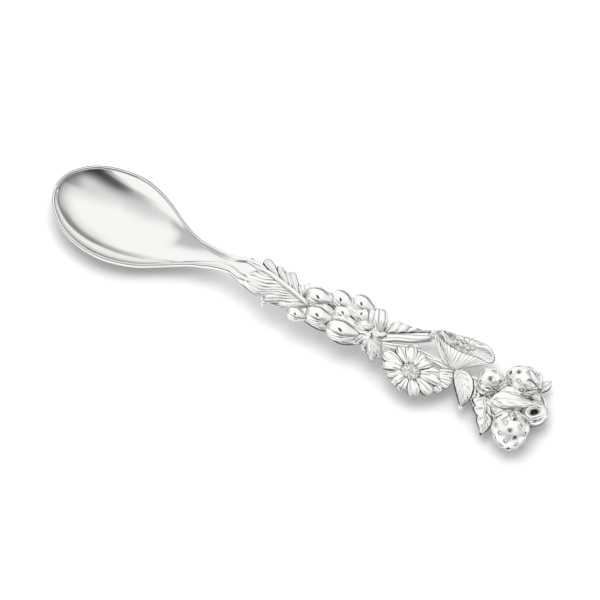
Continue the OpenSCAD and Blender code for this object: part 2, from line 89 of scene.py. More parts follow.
# Places on the handle: along it, and across it
TULIP = (FRUIT_START + 3.78 * FRUIT_LEN, 0.74 * FRUIT_W)
CURLED = (FRUIT_END - 0.6, 1.02 * FRUIT_W)
DAISY = (FRUIT_END + DAISY_D / 2 + 0.5, -0.27 * DAISY_D)
TRUMPET = (DAISY[0] + DAISY_D / 2 + TRUMPET_BASE / 2, 0.9)
SMALL = (TRUMPET[0] + TRUMPET_W / 2 + 0.7, 2.6)
POINTED = (SMALL[0] + 0.6, 2.6 - BERRY_SMALL / 2 - 0.8)
LEFT = (SMALL[0] + (BERRY_SMALL + BERRY_LEN) / 2 - 0.35, 0.89 * BERRY_W)
RIGHT = (LEFT[0] + 0.38 * BERRY_RIGHT, LEFT[1] - BERRY_W / 2 - BERRY_RIGHT / 2 - 4)
END = (LEFT[0] + 0.68 * BERRY_LEN, LEFT[1] - 0.76 * BERRY_W)
CROWN = (LEFT[0] - 0.2, LEFT[1] - BERRY_W / 2 - 2)
TIP = (LEFT[0] + BERRY_LEN / 2 + 0.9, LEFT[1] + 0.3)
FOOT = (LEFT[0] + 2.2, 0.5)


def ease(t):
    c = min(1.0, max(0.0, t))
    return c * c * (3 - 2 * c)


def mix(a, b, t):
    return a + (b - a) * t


def bump(t, width):
    return exp(-(t / width) ** 2)


def arch(t):
    """Half round, 1 at 0 and down to 0 at -1 and 1."""
    return sqrt(max(0.0, 1 - t ** 2))


def ripple(t):
    """Round waves, one for each step of 1, with a sharp line between them."""
    return abs(sin(pi * t))


def on_handle(u, v, h):
    """Point on the handle, from along, across and above the top of the stem."""
    return Vector((
        SEAT.x + u * cos(TILT) + h * sin(TILT), v,
        SEAT.z - u * sin(TILT) + h * cos(TILT)))


def smooth(a, b, c, d, t):
    """Point between b and c on a curve that passes through all four points."""
    return 0.5 * (2 * b + (c - a) * t + (2 * a - 5 * b + 4 * c - d) * t * t
                  + (3 * b - a - 3 * c + d) * t ** 3)


def line_at(points, share):
    """Point and direction on a smooth line through the given points."""
    spans = len(points) - 1
    k = min(spans - 1, int(share * spans))
    t = share * spans - k
    b, c = Vector(points[k]), Vector(points[k + 1])
    a = Vector(points[k - 1]) if k > 0 else 2 * b - c
    d = Vector(points[k + 2]) if k + 2 <= spans else 2 * c - b
    way = 0.5 * ((c - a) + 2 * (2 * a - 5 * b + 4 * c - d) * t + 3 * (3 * b - a - 3 * c + d) * t * t)
    return smooth(a, b, c, d, t), way.normalized()


def across_strip(t):
    """Place across a strip, -1 to 1, from a share, with points closer together at the edges."""
    return sin(pi * (t - 0.5))


def lines_layer(bm):
    """Layer that keeps how dark the painted lines of shade are at each point."""
    return bm.verts.layers.float.get("lines") or bm.verts.layers.float.new("lines")


def bent_grid(bm, along, across, place, lines=None):
    """Grid whose points go where place puts them, from two shares, with its painted dark lines of shade."""
    layer = lines_layer(bm)
    made = bmesh.ops.create_grid(bm, x_segments=along, y_segments=across, size=0.5)
    for vert in made["verts"]:
        s, t = vert.co.x + 0.5, vert.co.y + 0.5
        vert.co = place(s, t) * MM
        if lines:
            vert[layer] = lines(s, t)


def two_skins(bm, along, across, place, lines=None):
    """Upper skin with its painted dark lines of shade, and the plain skin under it."""
    bent_grid(bm, along, across, lambda s, t: place(s, t, True), lines)
    bent_grid(bm, along, across, lambda s, t: place(s, t, False))


def painted_leaf_edge(s, t):
    """Painted shade: dark line along the edge of a leaf or petal."""
    q = abs(across_strip(t))
    return max(ease((q - 0.84) / 0.08), ease((s - 0.94) / 0.04), ease((0.03 - s) / 0.02))


def bent_ball(bm, around, rows, place, lines=None):
    """Ball whose points go where place puts them, from a direction, with its painted dark lines of shade.
    """
    layer = lines_layer(bm)
    made = bmesh.ops.create_uvsphere(bm, u_segments=around, v_segments=rows, radius=1)
    for vert in made["verts"]:
        p = vert.co.normalized()
        vert.co = place(p) * MM
        if lines:
            vert[layer] = lines(p)


def frame_at(points, share, roll=0.0):
    """Point on a line with the directions across it and up from it."""
    at, way = line_at(points, share)
    side = way.cross(UP).normalized()
    normal = side.cross(way)
    c, s = cos(radians(roll)), sin(radians(roll))
    return at, side * c + normal * s, normal * c - side * s


# Shares of a leaf's half width that its midrib takes, and of its length that its veins run forward
RIB_WIDTH = 0.12
VEIN_SWEEP = 0.3


def blade(bm, points, width, along, across, crown, thick, peak=0.45, root=0.6, tip=0.8, rib=0.0,
          veins=0, vein=0.0, grooves=0, groove=0.0, teeth=0, tooth=0.0, roll=0.0):
    """Leaf, petal or barb along a line on the handle, with a rounded edge and a plain back."""
    def spot(s, t, upper):
        at, side, normal = frame_at(points, s, roll)
        q = across_strip(t)
        if s < peak:
            form = sin(pi / 2 * s / peak) ** root
        else:
            form = max(0.0, cos(pi / 2 * (s - peak) / (1 - peak))) ** tip
        half = 0.5 * width * form
        if teeth:
            half *= 1 - tooth * ripple(teeth * s) * abs(q) ** 3
        strong = min(1.0, 2.5 * form)
        height = crown * (1 - q * q) * form
        if upper:
            body = arch(q ** 3)
            height += thick * body * strong
            height += rib * bump(q, RIB_WIDTH) * strong
            if veins:
                wave = cos(2 * pi * veins * (s - VEIN_SWEEP * abs(q)))
                height += vein * wave * body * min(1.0, 3 * abs(q)) * strong
            if grooves:
                line = (q + 1) / 2 * grooves
                stroke = ease(0.8 + 0.5 * sin(7 * s + 2.6 * int(line) + 3 * width))
                height -= groove * bump(line % 1 - 0.5, 0.1) * stroke * body * strong
        return on_handle(*(at + side * half * q + normal * height))
    two_skins(bm, along, across, spot, painted_leaf_edge)


def tube(bm, points, radius, flat=1.0, rings=30, sides=16, ridges=0, ridge=0.0, twist=0.0):
    """Round or flattened branch along a line on the handle, with rounded ends."""
    def spot(s, t):
        at, side, normal = frame_at(points, s)
        angle = 2 * pi * t
        end = min(s, 1 - s) * rings / 3
        r = radius(s) * (arch(1 - end) if end < 1 else 1.0)
        r *= 1 + ridge * cos(ridges * angle + twist * s)
        return on_handle(*(at + side * r * cos(angle) + normal * r * flat * sin(angle)))
    bent_grid(bm, rings, sides, spot)


def sheet(bm, left, right, relief, thick=0.4, along=40, across=20, reach=None, lines=painted_leaf_edge):
    """Leaf between two edge lines on the handle, with its relief on top and a plain back."""
    def spot(s, t, upper):
        q = across_strip(t)
        a = line_at(left, s)[0]
        b = line_at(right, s)[0]
        share = (q + 1) / 2
        if reach:
            share = 1 - (1 - share) * reach(s)
        ends = min(1.0, 8 * s, 8 * (1 - s))
        edge = arch(q * q) * arch(1 - ends)
        at = a + (b - a) * share
        height = relief(s, q) if upper else -thick
        return on_handle(at.x, at.y, at.z + edge * height)
    two_skins(bm, along, across, spot, lines)


def mark_painted_shade(bm):
    """Keeps how hollow the surface is at each point, with the painted lines, as the mask where shade is
    painted in its hollows.
    """
    layer = bm.verts.layers.float.new("painted_shade")
    lines = bm.verts.layers.float.get("lines")
    bm.normal_update()
    raw = {}
    for vert in bm.verts:
        total = 0.0
        for link in vert.link_edges:
            step = link.other_vert(vert).co - vert.co
            total += step.dot(vert.normal) / max(step.length, 1e-7)
        raw[vert] = total / max(1, len(vert.link_edges))
    for vert in bm.verts:
        near = [raw[link.other_vert(vert)] for link in vert.link_edges]
        hollow = min(1.0, max(0.0, 2.6 * (0.6 * raw[vert] + 0.4 * sum(near) / max(1, len(near)))))
        vert[layer] = max(hollow, vert[lines] if lines else 0.0)


def mesh_object(name, bm, material):
    """Object in the scene from a mesh that is done."""
    mesh = bpy.data.meshes.new(name)
    bm.to_mesh(mesh)
    bm.free()
    mesh.materials.append(material)
    made = bpy.data.objects.new(name, mesh)
    scene.collection.objects.link(made)
    return made


def finish_piece(name, bm, node, slot="cast_silver", material=None):
    """Closes a mesh and makes it a piece that stands for a solid, in its slot's finish or another."""
    bmesh.ops.remove_doubles(bm, verts=bm.verts, dist=0.004 * MM)
    bmesh.ops.dissolve_degenerate(bm, edges=bm.edges, dist=0.002 * MM)
    bmesh.ops.recalc_face_normals(bm, faces=bm.faces)
    mark_painted_shade(bm)
    piece = mesh_object(name, bm, material or FINISHES[slot])
    piece.data.shade_smooth()
    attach(piece, "root")
    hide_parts(node)


def colour(code):
    """Linear colour from an sRGB hex value."""
    parts = [int(code[k:k + 2], 16) / 255 for k in (0, 2, 4)]
    return tuple(p / 12.92 if p <= 0.04045 else ((p + 0.055) / 1.055) ** 2.4 for p in parts) + (1.0,)


def feed(node, inputs):
    """Sets a node's inputs to values, or links them to other nodes' results."""
    for key, value in inputs.items():
        if isinstance(value, bpy.types.NodeSocket):
            node.id_data.links.new(value, node.inputs[key])
        else:
            node.inputs[key].default_value = value


def add(tree, kind, settings=None, inputs=None):
    """Adds one node with its settings and inputs."""
    made = tree.nodes.new("ShaderNode" + kind)
    for key, value in (settings or {}).items():
        setattr(made, key, value)
    feed(made, inputs or {})
    return made


def reckon(tree, operation, *values):
    """Result of a math node on values or other nodes' results."""
    return add(tree, "Math", {"operation": operation}, dict(enumerate(values))).outputs["Value"]


def ramp(tree, value, start, end, low=0.0, high=1.0):
    """Smooth step from low to high, between two values."""
    return add(tree, "MapRange", {"interpolation_type": "SMOOTHSTEP"}, {
        "Value": value, "From Min": start, "From Max": end,
        "To Min": low, "To Max": high}).outputs["Result"]


def blend(tree, share, first, second):
    """Colour between two others."""
    return add(tree, "Mix", {"data_type": "RGBA"}, {
        "Factor": share, "A": first, "B": second}).outputs["Result"]


# Size of the rougher patches, and height of the grain
PATCH_MM = 4.0
GRAIN_MM = 0.02


def silver(name, edge, roughness, grain_mm, grain_depth, metal, bright="FDFCFA", shade_colour="3A3835",
           painted_shade=0.95, reach_mm=0.25):
    """Silver with faint marks, rougher in patches, with painted shade at its edges and in its crevices."""
    material = bpy.data.materials.new(name)
    material.use_nodes = True
    tree = material.node_tree
    shader = tree.nodes["Principled BSDF"]
    where = add(tree, "TexCoord").outputs["Object"]
    patches = add(tree, "TexNoise", None, {
        "Vector": where, "Scale": 1 / (PATCH_MM * MM), "Detail": 4.0})
    grain = add(tree, "TexNoise", None, {
        "Vector": where, "Scale": 1 / (grain_mm * MM), "Detail": 3.0})
    # Painted shade: the darker colour goes where hollows and painted lines are marked, and where ambient
    # occlusion finds other surfaces close by
    hollow = add(tree, "Attribute", {"attribute_name": "painted_shade"})
    crevice = add(tree, "AmbientOcclusion", {"samples": 8}, {"Distance": reach_mm * MM})
    deep = ramp(tree, hollow.outputs["Fac"], 0.25, 0.95, high=painted_shade)
    closed = ramp(tree, crevice.outputs["AO"], 0.55, 0.15, high=painted_shade)
    tone = blend(tree, reckon(tree, "MAXIMUM", deep, closed), colour(bright), colour(shade_colour))
    rough = add(tree, "MapRange", None, {
        "Value": patches.outputs["Fac"], "From Min": 0.3, "From Max": 0.7,
        "To Min": roughness[0], "To Max": roughness[1]})
    marks = add(tree, "Bump", None, {
        "Height": grain.outputs["Fac"], "Strength": grain_depth, "Distance": GRAIN_MM * MM})
    feed(shader, {
        "Base Color": tone, "Roughness": rough.outputs["Result"], "Normal": marks.outputs["Normal"],
        "Metallic": metal, "Specular Tint": colour(edge)})
    return material


FINISHES = {
    # Bowl and neck: mirror-polished sterling silver, almost white, with soft wide reflections
    "bowl_silver": silver(
        "polished_silver", edge="E4E4E4", roughness=(0.06, 0.10), grain_mm=0.25, grain_depth=0.02,
        metal=1.0, bright="FBFAF8", shade_colour="3E3C39", painted_shade=0.9, reach_mm=0.2),
    # Leaves, fruit and blossoms: cast silver with the thin white bloom of pickling, with painted shade in
    # its crevices
    "cast_silver": silver(
        "cast_silver", edge="555555", roughness=(0.07, 0.13), grain_mm=0.22, grain_depth=0.06,
        metal=0.88),
    # Stem and grained middles: the same casting left satin
    "grained_silver": silver(
        "satin_silver", edge="606060", roughness=(0.12, 0.20), grain_mm=0.15, grain_depth=0.10,
        metal=0.79)}
# Strawberries: the same casting with a frosted skin, with painted shade in the pits so that they stand out
# dark on white
frosted_silver = silver(
    "frosted_silver", edge="707070", roughness=(0.28, 0.36), grain_mm=0.2, grain_depth=0.06,
    metal=0.72, shade_colour="302E2C")

# Bowl and neck: flat edge, the rim's bead, lip of the hollow, and the neck's bead and sunk panel
FLANGE = 0.2
BEAD_EDGE = 0.48
HOLLOW_LIP = 0.5
BEAD_RISE = 0.07
NECK_BEAD_EDGE = 0.8
PANEL_SINK = 0.34
PANEL_START = 13


def half_width(x):
    if x < 0:
        return BOWL_W / 2 * arch(x / BOWL_FRONT)
    if x < BOWL_BACK:
        return mix(NECK_W, BOWL_W, ((1 + cos(pi * x / BOWL_BACK)) / 2) ** 1.2) / 2
    if x < SHOULDER_X:
        return mix(NECK_W, SHOULDER_W, ease((x - BOWL_BACK) / NECK_LEN)) / 2
    return SHOULDER_W / 2 * max(0.0, 1 - ((x - SHOULDER_X) / TONGUE_LEN) ** 4) ** 0.25


def rolled_out(x):
    """How far the rim is rolled outwards past the solid's edge."""
    bowl = 0.26 * ease((x + BOWL_FRONT) / 6) * (1 - ease((x - 8) / 4))
    return bowl + 0.3 * ease((x - 16) / 4) * (1 - ease((x - SHOULDER_X) / TONGUE_LEN))


def rim_line(x):
    if x < 0:
        return RIM_Z + TIP_RISE * (x / BOWL_FRONT) ** 2
    if x < HEEL_X:
        return RIM_Z - HEEL_DROP * ease(x / HEEL_X)
    if x < SHOULDER_X:
        return RIM_Z - HEEL_DROP + (HEEL_DROP + NECK_RISE) * ease((x - HEEL_X) / (SHOULDER_X - HEEL_X))
    return RIM_Z + NECK_RISE - (x - SHOULDER_X) * tan(TILT)


def edge_distance(x, y):
    """Rough distance from the outline of bowl and neck."""
    if x < 0:
        rest = 1 - (x / BOWL_FRONT) ** 2 - (2 * y / BOWL_W) ** 2
        slope = 2 * hypot(x / BOWL_FRONT ** 2, 4 * y / BOWL_W ** 2)
        return max(0.0, rest) / max(slope, 1e-4)
    return max(0.0, half_width(x) - abs(y)) * 0.94


def neck_share(x):
    """0 on the bowl and 1 on the neck."""
    return ease((x - HEEL_X) / (BOWL_BACK - HEEL_X))


def bowl_hollow(x, y, lip):
    """Depth of the hollow at a place, which starts inside a narrow lip and runs out along the neck."""
    if x < 0:
        rest = 1 - (x / (BOWL_FRONT - lip)) ** 2 - (y / (BOWL_W / 2 - lip)) ** 2
        return BOWL_DEPTH * max(0.0, rest) ** BOWL_CURVE
    w = half_width(x)
    share = max(0.0, 2 * w - NECK_W) / (BOWL_W - NECK_W) if x < BOWL_BACK else 0.0
    inside = max(0.0, 1 - (y / max(0.2, w - lip)) ** 2)
    return BOWL_DEPTH * share ** (2 * BOWL_CURVE) * inside ** BOWL_CURVE


def bowl_station(s):
    """Place along the spoon, close together at the tip."""
    if s < 0.4:
        return -BOWL_FRONT * cos(pi / 2 * s / 0.4)
    if s < 0.9:
        return (SHOULDER_X - 0.02) * (s - 0.4) / 0.5
    return SHOULDER_X + TONGUE_LEN * sin(pi / 2 * (s - 0.9) / 0.1)


def bowl_point(s, t, upper):
    x = bowl_station(s)
    q = across_strip(t)
    y = q * half_width(x)
    neck = neck_share(x)
    thick = mix(WALL, NECK_T, neck) if x < SHOULDER_X else TONGUE_T
    d = edge_distance(x, y)
    low = max(0.0, rim_line(x) - bowl_hollow(x, y, 0.0) - thick)
    top = rim_line(x) - bowl_hollow(x, y, HOLLOW_LIP)
    # A thread line, a rounded bead along the rim, and the sunk panel of the neck inside its borders
    bead = mix(BEAD_EDGE, NECK_BEAD_EDGE, neck)
    height = 0.0
    if FLANGE < d < bead:
        height = arch(2 * (d - FLANGE) / (bead - FLANGE) - 1)
    top += BEAD_RISE * height - BEAD_RISE * (1 - ease((d - bead) / 0.4))
    top -= PANEL_SINK * ease((d - bead) / 0.45) * ease((x - PANEL_START) / 6)
    if x >= SHOULDER_X:
        low = top - thick
    soft = mix(0.1, 0.3, neck)
    drop = 1 - arch(1 - min(1.0, d / soft))
    middle = mix(top, low, 0.5)
    y += q * rolled_out(x)
    return Vector((x, y, mix(top, middle, drop) if upper else mix(low, middle, drop)))


def rim_shade_lines(s, t):
    """Painted shade: fine dark lines on both sides of the rim's bead."""
    x = bowl_station(s)
    q = across_strip(t)
    d = edge_distance(x, q * half_width(x))
    neck = neck_share(x)
    inner = bump(d - mix(0.5, 0.84, neck), 0.07)
    wide = mix(0.2, 0.1, ease(-3 * q))
    return max(ease((d - 0.02) / 0.04) * (1 - ease((d - wide) / 0.06)), mix(0.75, 0.45, neck) * inner)


bm = bmesh.new()
two_skins(bm, 240, 170, bowl_point, rim_shade_lines)
finish_piece("spoon_bowl", bm, "bowl", "bowl_silver")

# Stem: a bar under the leaf and fruit, then branches round the three-cornered gap
bm = bmesh.new()
MID = -STEM_T / 2
BAR_HALF = 0.78


def bar(points, radius, rings=30):
    """Branch as thick as the stem, whatever its width, with a faint bark."""
    widest = max(radius(k / 10) for k in range(11))
    tube(bm, [(u, v, MID) for u, v in points], radius, BAR_HALF / widest, rings, 28, 7, 0.03, 6)


def strands(points, count, spread, r):
    """Thin stalks that run side by side along a line."""
    for k in range(count):
        shift = (k - (count - 1) / 2) * spread
        line = []
        for j in range(7):
            at, side, normal = frame_at(points, j / 6)
            sway = 0.14 * sin(2.1 * j + 1.7 * k)
            line.append(at + side * (shift + sway) + normal * 0.12 * cos(1.3 * j + 2 * k))
        tube(bm, line, lambda s: r * (1 + 0.15 * sin(9 * s + k)), 0.9, 36, 12)


def husk(points, width):
    """Small leaf that fills a place between two pieces."""
    blade(bm, points, width, 24, 14, crown=0.35, thick=0.5, rib=0.2, veins=4, vein=0.05)


bar([(0.1, 0), (7, 0), (FRUIT_START, -0.3), (22, 0.2), (FRUIT_END - 1, 0.1)],
    lambda s: mix(1.6, 2.7, ease(2 * s)) * mix(1.0, 0.7, ease(4 * s - 3)), 50)
bar([(0.04, 0), (1.6, -0.3), (3.4, -0.7), (5.6, -0.7)], lambda s: mix(2.2, 2.6, ease(2 * s)), 44)
bar([(FRUIT_END - 2.6, 0.8), (CURLED[0] + 0.6, CURLED[1] - 0.9), (35.6, 4.4), (DAISY[0], 6.0)],
    lambda s: mix(1.15, 0.85, s))
bar([(FRUIT_END - 2, 0), (mix(FRUIT_END, DAISY[0], 0.5), -1.2), DAISY,
     (mix(DAISY[0], TRUMPET[0], 0.62), -1.1), TRUMPET, (SMALL[0], SMALL[1] - 1), FOOT],
    lambda s: 1.0 + 1.0 * bump(s - 0.33, 0.09) + 0.4 * ease(4 * s - 3), 60)
bar([(mix(SMALL[0], FOOT[0], 0.5), 1), LEFT, TIP], lambda s: 1.1)
bar([FOOT, RIGHT], lambda s: 1.2)
bar([FOOT, (END[0] + 0.5, END[1])], lambda s: 1.2)
bar([(SMALL[0], SMALL[1] - 1), (POINTED[0], POINTED[1] - 0.4)], lambda s: 1.1)


def stalk(s, q):
    """Round stalks side by side, which part and meet along the bundle."""
    return min(1.0, 2.2 * ripple(1.4 * q + 0.35 * sin(5 * s) + 0.2))


def stalk_shade_lines(s, t):
    """Painted shade: dark lines between the stalks, and along the edge of the bundle."""
    return max(0.6 * painted_leaf_edge(s, t), 0.8 - ease(stalk(s, across_strip(t)) / 0.4))


# Bundle of stalks above the gap, and those below it
sheet(bm, [(27.4, 0.9, 0.6), (29.6, 1.9, 0.5), (31.7, 3.1, 0.5), (34.4, 4.9, 0.45), (36.2, 5.9, 0.4),
           (37.9, 6.4, 0.3)],
      [(27.6, -0.9, 0.6), (29.8, -0.4, 0.5), (32, 1, 0.5), (34.8, 2.4, 0.4), (36.5, 3.8, 0.3),
       (37.9, 5.2, 0.2)],
      lambda s, q: 0.2 + 0.1 * stalk(s, q), 0.9, 80, 70, None, stalk_shade_lines)
strands([(27, -1, 0.3), (30.6, -0.6, 0.2), (33.4, 0.7, 0.1), (35.6, 1.7, 0), (36.8, 2.2, -0.1)],
        2, 0.6, 0.42)
strands([(34.8, 1.1, 0), (37.4, 1.3, 0.1), (39.8, 1.5, 0.1), (41.8, 1.7, 0.2), (43.8, 1.9, 0.2)],
        3, 0.5, 0.42)
strands([(40.4, -1.1, 0), (42.6, -0.5, 0), (44.8, 0.6, 0.2), (48.5, 1.2, 0.2), (51, 1.4, 0.2)],
        3, 0.6, 0.42)
# Husk leaves that fill the places between the fruit
husk([(19.4, -0.2, 0.9), (16.6, -0.5, 1.5), (13.6, -0.7, 0.9)], 2.6)
husk([(25.8, -0.6, 1), (22.2, -0.7, 1.7), (18.4, -0.7, 1)], 2.6)
husk([(26, 0.6, 0.9), (22.6, 1.8, 1.7), (18.6, 2, 1.2)], 2.4)
husk([(25.6, 2.6, 0.9), (22.2, 3.3, 1.6), (18.8, 4.4, 0.7)], 2.4)
husk([(20.2, -3, 0), (17.4, -3.4, 0.3), (13.8, -3.6, 0)], 2.0)
husk([(26.4, -2, 0.1), (23, -3.9, 0.4), (19.6, -4, 0.1)], 2.0)
husk([(19, 1.4, 0.8), (17.2, 2.2, 1.5), (14.8, 3, 0.6)], 2.4)
husk([(27.4, 0.8, 1), (25.8, 3.2, 1.5), (25, 5.8, 0.6)], 2.4)
husk([(24.2, -0.4, 1.4), (25.8, 0.4, 2), (27.6, 1.4, 1.3)], 2.4)
# Small leaves that meet where the fruit's stalks join
for line in (
        [(27.5, -0.4, 1.5), (26, -0.8, 1.9), (24.2, -1.2, 1.6)],
        [(27.4, -0.3, 1.5), (26.7, 0.9, 1.9), (25.9, 2.2, 1.7)],
        [(27.5, -0.4, 1.5), (28.8, 0.4, 1.6), (30.2, 1.3, 1.2)],
        [(27.4, -0.3, 1.5), (27.9, 1, 1.7), (28.4, 2.2, 1.5)],
        [(27.5, -0.5, 1.5), (26.4, -1.8, 1.6), (24.9, -2.9, 1.2)]):
    blade(bm, line, 1.7, 36, 22, crown=0.06, thick=0.22, rib=0.1, veins=3, vein=0.04, teeth=3, tooth=0.2)
# Leaves that fill the places between the berries
husk([(50.2, 0.4, 0.6), (52.2, 0.2, 1.6), (54, 1.2, 1.8)], 2.4)
husk([(48.2, 1.5, -0.6), (50.2, 0.6, -0.2), (52.2, 0.9, 0.2)], 2.8)
husk([(49.6, 1.2, -0.6), (50.8, -0.9, -0.3), (51.8, -3.2, -0.5)], 3.0)
husk([(53.4, 1, 1.4), (54.6, 3, 2), (55, 5.2, 1.4)], 2.4)
husk([(54.6, 0.8, 2.6), (57.4, 2, 3.3), (60.4, 2.6, 2.8)], 2.6)
husk([(55.2, -2.2, 2), (57.2, -2.9, 3.2), (60.4, -1.6, 3)], 2.6)
husk([(54.6, -1.4, 1.8), (56.2, -3, 2.2), (57, -4.8, 1.4)], 2.2)
husk([(59.6, 3.6, 2.2), (61.2, 3.6, 2.4), (62.6, 2.6, 2.2)], 2.0)
husk([(60.6, -0.2, 2.4), (62.2, -1.2, 2.2), (62.8, -2.8, 1.6)], 1.8)
# Knobs at the end of the bundle
for u, v, h, r in ((37.9, 6.2, 0.4, 0.95), (37.4, 5.6, 0.4, 0.6), (38.4, 6.6, 0.6, 0.55),
                   (38.5, 5.8, 0.9, 0.5)):
    bent_ball(bm, 24, 16, lambda p: on_handle(
        u + r * p.x, v + r * p.y, h + r * p.z * (1 + 0.12 * cos(6 * atan2(p.y, p.x)))))
# Foot: a low round plate on the table
FOOT_R = 3.0
FOOT_TOP_R = 2.6
FOOT_T = 1.2
made = bmesh.ops.create_cone(
    bm, cap_ends=True, segments=40, radius1=FOOT_R * MM, radius2=FOOT_TOP_R * MM, depth=FOOT_T * MM)
foot_spot = on_handle(*FOOT, MID)
bmesh.ops.translate(bm, verts=made["verts"], vec=Vector((foot_spot.x, foot_spot.y, FOOT_T / 2)) * MM)
finish_piece("openwork_stem", bm, "stem", "grained_silver")

# Feathered leaf: a raised midrib, broad scooped lobes on one side and long swept barbs on the other
bm = bmesh.new()
tube(bm, [(-1, 1.5, 0.2), (1.2, 1.35, 0.75), (3.1, 1.2, 1.25), (4.8, 1, 1.5),
          (7.7, 0.4, 1.65), (10.8, -0.2, 1.6), (14.2, -1, 1.3)],
     lambda s: mix(0.14, 0.46, ease(1.6 * s)), 0.5, 70, 18)


def barb_wave(s, q):
    """Count of the uneven barbs up to a place."""
    swept = s + 0.15 * (1 - q)
    return 11 * swept + 0.5 * sin(9 * swept) + 0.16 * sin(3 * q + 13 * s)


def barbs(s, q):
    """Swept barbs with narrow furrows, which run out flat where the leaf meets the neck."""
    ridge = min(1.0, 2.0 * ripple(barb_wave(s, q)))
    fine = min(1.0, 1.6 * ripple(2.4 * barb_wave(s, q) + 0.4 * q))
    fade = mix(ease((q + 1) / 0.9), 1.0, ease((s - 0.35) / 0.25))
    deep = 0.13 + 0.06 * sin(23 * s + 1.2 * q)
    return 0.12 + fade * (deep * ridge + 0.02 * fine) + 0.1 * (1 - q * q)


def furrows(s, t):
    """Painted shade: dark lines in the furrows, strongest near the middle of the leaf."""
    q = across_strip(t)
    deep = 1 - ease(ripple(barb_wave(s, q)) / 0.5)
    fine = 1 - ease(ripple(2.4 * barb_wave(s, q) + 0.4 * q) / 0.22)
    strong = 0.7 + 0.3 * sin(19 * s + 2.4 * q)
    fade = mix(ease((q + 0.9) / 0.6), 1.0, ease((s - 0.35) / 0.25))
    return max(fade * max(strong * deep, 0.4 * fine), 0.5 * painted_leaf_edge(s, t) * ease((s - 0.4) / 0.15))


def scallop(s):
    return 1 - 0.08 * ease((s - 0.4) / 0.2) * (1 - ripple(barb_wave(s, -1)))


sheet(bm, [(1.7, 0.6, 0.28), (0.2, -1, 0.06), (0.4, -2.1, 0.08), (1.4, -2.6, 0.2), (3.3, -3.7, 0.2),
           (5, -3.8, 0.2), (6.7, -4.4, 0.15), (7.9, -4.1, 0.15), (9.2, -4.2, 0.2), (10.8, -3.9, 0.3)],
      [(3, 1, 0.9), (5.1, 0.7, 1.1), (6.9, 0.4, 1.15), (9.1, 0, 1.1), (11.4, -0.5, 1), (13.9, -0.9, 0.8)],
      barbs, 0.35, 210, 96, scallop, furrows)


# Painted shade: dark line along the edge of the neck's borders, faded out where they start
def border_shade_lines(s, t):
    return painted_leaf_edge(s, t) * ease((s - 0.2) / 0.3)


# Smooth borders of the neck, which run on beside the leaf
sheet(bm, [(-2.6, -2, -0.6), (-0.6, -2.66, -0.5), (0.8, -3, -0.45), (2.2, -3.35, -0.35), (3.6, -3.7, -0.2),
           (4.9, -3.4, 0.1)],
      [(-2.6, -1.9, -0.5), (-0.6, -1.8, 0.25), (0.6, -2.1, 0.35), (1.6, -2.5, 0.4), (3, -2.9, 0.35),
       (4.9, -3, 0.25)],
      lambda s, q: 0.2 + 0.08 * bump(q - 0.5, 0.3), 0.9, 60, 30, None, border_shade_lines)
sheet(bm, [(-2.6, 1.75, -0.3), (-0.8, 1.65, 0.2), (1.2, 1.6, 0.5), (3.2, 1.4, 0.75), (5.4, 1, 0.9)],
      [(-2.6, 1.85, -0.3), (-0.8, 2.25, 0.15), (0.9, 2.5, 0.4), (2.4, 2.35, 0.6), (5.4, 1.4, 0.8)],
      lambda s, q: 0.16 + 0.1 * (1 - q * q), 0.4, 40, 16, None, border_shade_lines)


def lobe(s, q):
    """Two soft ridges beside a lobe's middle."""
    return 0.2 + 0.2 * bump(abs(q) - 0.5, 0.2) + 0.1 * ease(s)


def lobe_shade_lines(s, t):
    """Painted shade: dark line just inside the edge of a lobe, and a faint one along its middle."""
    q = across_strip(t)
    return max(ease((abs(q) - 0.7) / 0.1), ease((s - 0.9) / 0.05), 0.45 * bump(q - 0.1, 0.12))


for left, right in (
        ([(6.2, 1, 1), (4.2, 1.5, 1.05), (2.4, 2.2, 0.85), (2.1, 3, 0.7)],
         [(6.5, 1.3, 0.9), (5.4, 2.5, 0.85), (4.2, 3.5, 0.7), (2.8, 3.95, 0.65), (2.1, 3, 0.7)]),
        ([(8.4, 0.5, 1.05), (6.6, 1.2, 1.05), (5.2, 2.5, 0.75), (4.9, 3.2, 0.65)],
         [(8.7, 0.8, 0.95), (7.7, 2.3, 0.85), (6.5, 3.3, 0.7), (5.6, 3.65, 0.65), (4.9, 3.2, 0.65)]),
        ([(9.3, 0.4, 0.95), (8, 1.3, 0.9), (7.1, 2.4, 0.75), (6.7, 3.1, 0.6)],
         [(9.6, 0.7, 0.85), (8.7, 2, 0.8), (7.6, 3.3, 0.65), (6.7, 3.1, 0.6)]),
        ([(10.7, 0.1, 0.95), (9, 1, 0.95), (7.8, 2.6, 0.75), (7.7, 3.4, 0.65)],
         [(11.3, 0.3, 0.85), (10.5, 1.8, 0.75), (9.3, 3.3, 0.6), (8.4, 3.95, 0.55), (7.7, 3.4, 0.65)]),
        ([(11.8, -0.2, 0.85), (10.9, 0.7, 0.8), (10.1, 1.7, 0.6)],
         [(12.4, 0.1, 0.8), (11.5, 1.2, 0.75), (10.6, 2.1, 0.55), (10.1, 1.7, 0.6)])):
    sheet(bm, left, right, lobe, 0.35, 40, 40, None, lobe_shade_lines)
# Plain leaf under the lobes
blade(bm, [(12.6, 0.5, 0.3), (7.5, 1.7, 0.4), (2.6, 2.4, 0.4)], 2.8, 30, 14, crown=0.2, thick=0.3)
# Small ball on a stalk at the near edge
BALL_R = 0.56
bent_ball(bm, 20, 14, lambda p: on_handle(6.1 + BALL_R * p.x, -4.75 + BALL_R * p.y, 0.3 + BALL_R * p.z))
tube(bm, [(5, -3.4, 0.3), (5.5, -4.2, 0.3), (6, -4.7, 0.3)], lambda s: 0.24, 1.0, 14, 10)
finish_piece("feathered_leaf", bm, "feather_leaf")


# Fruit and buds, with their height as a share of the width
FRUIT_TALL = 0.84


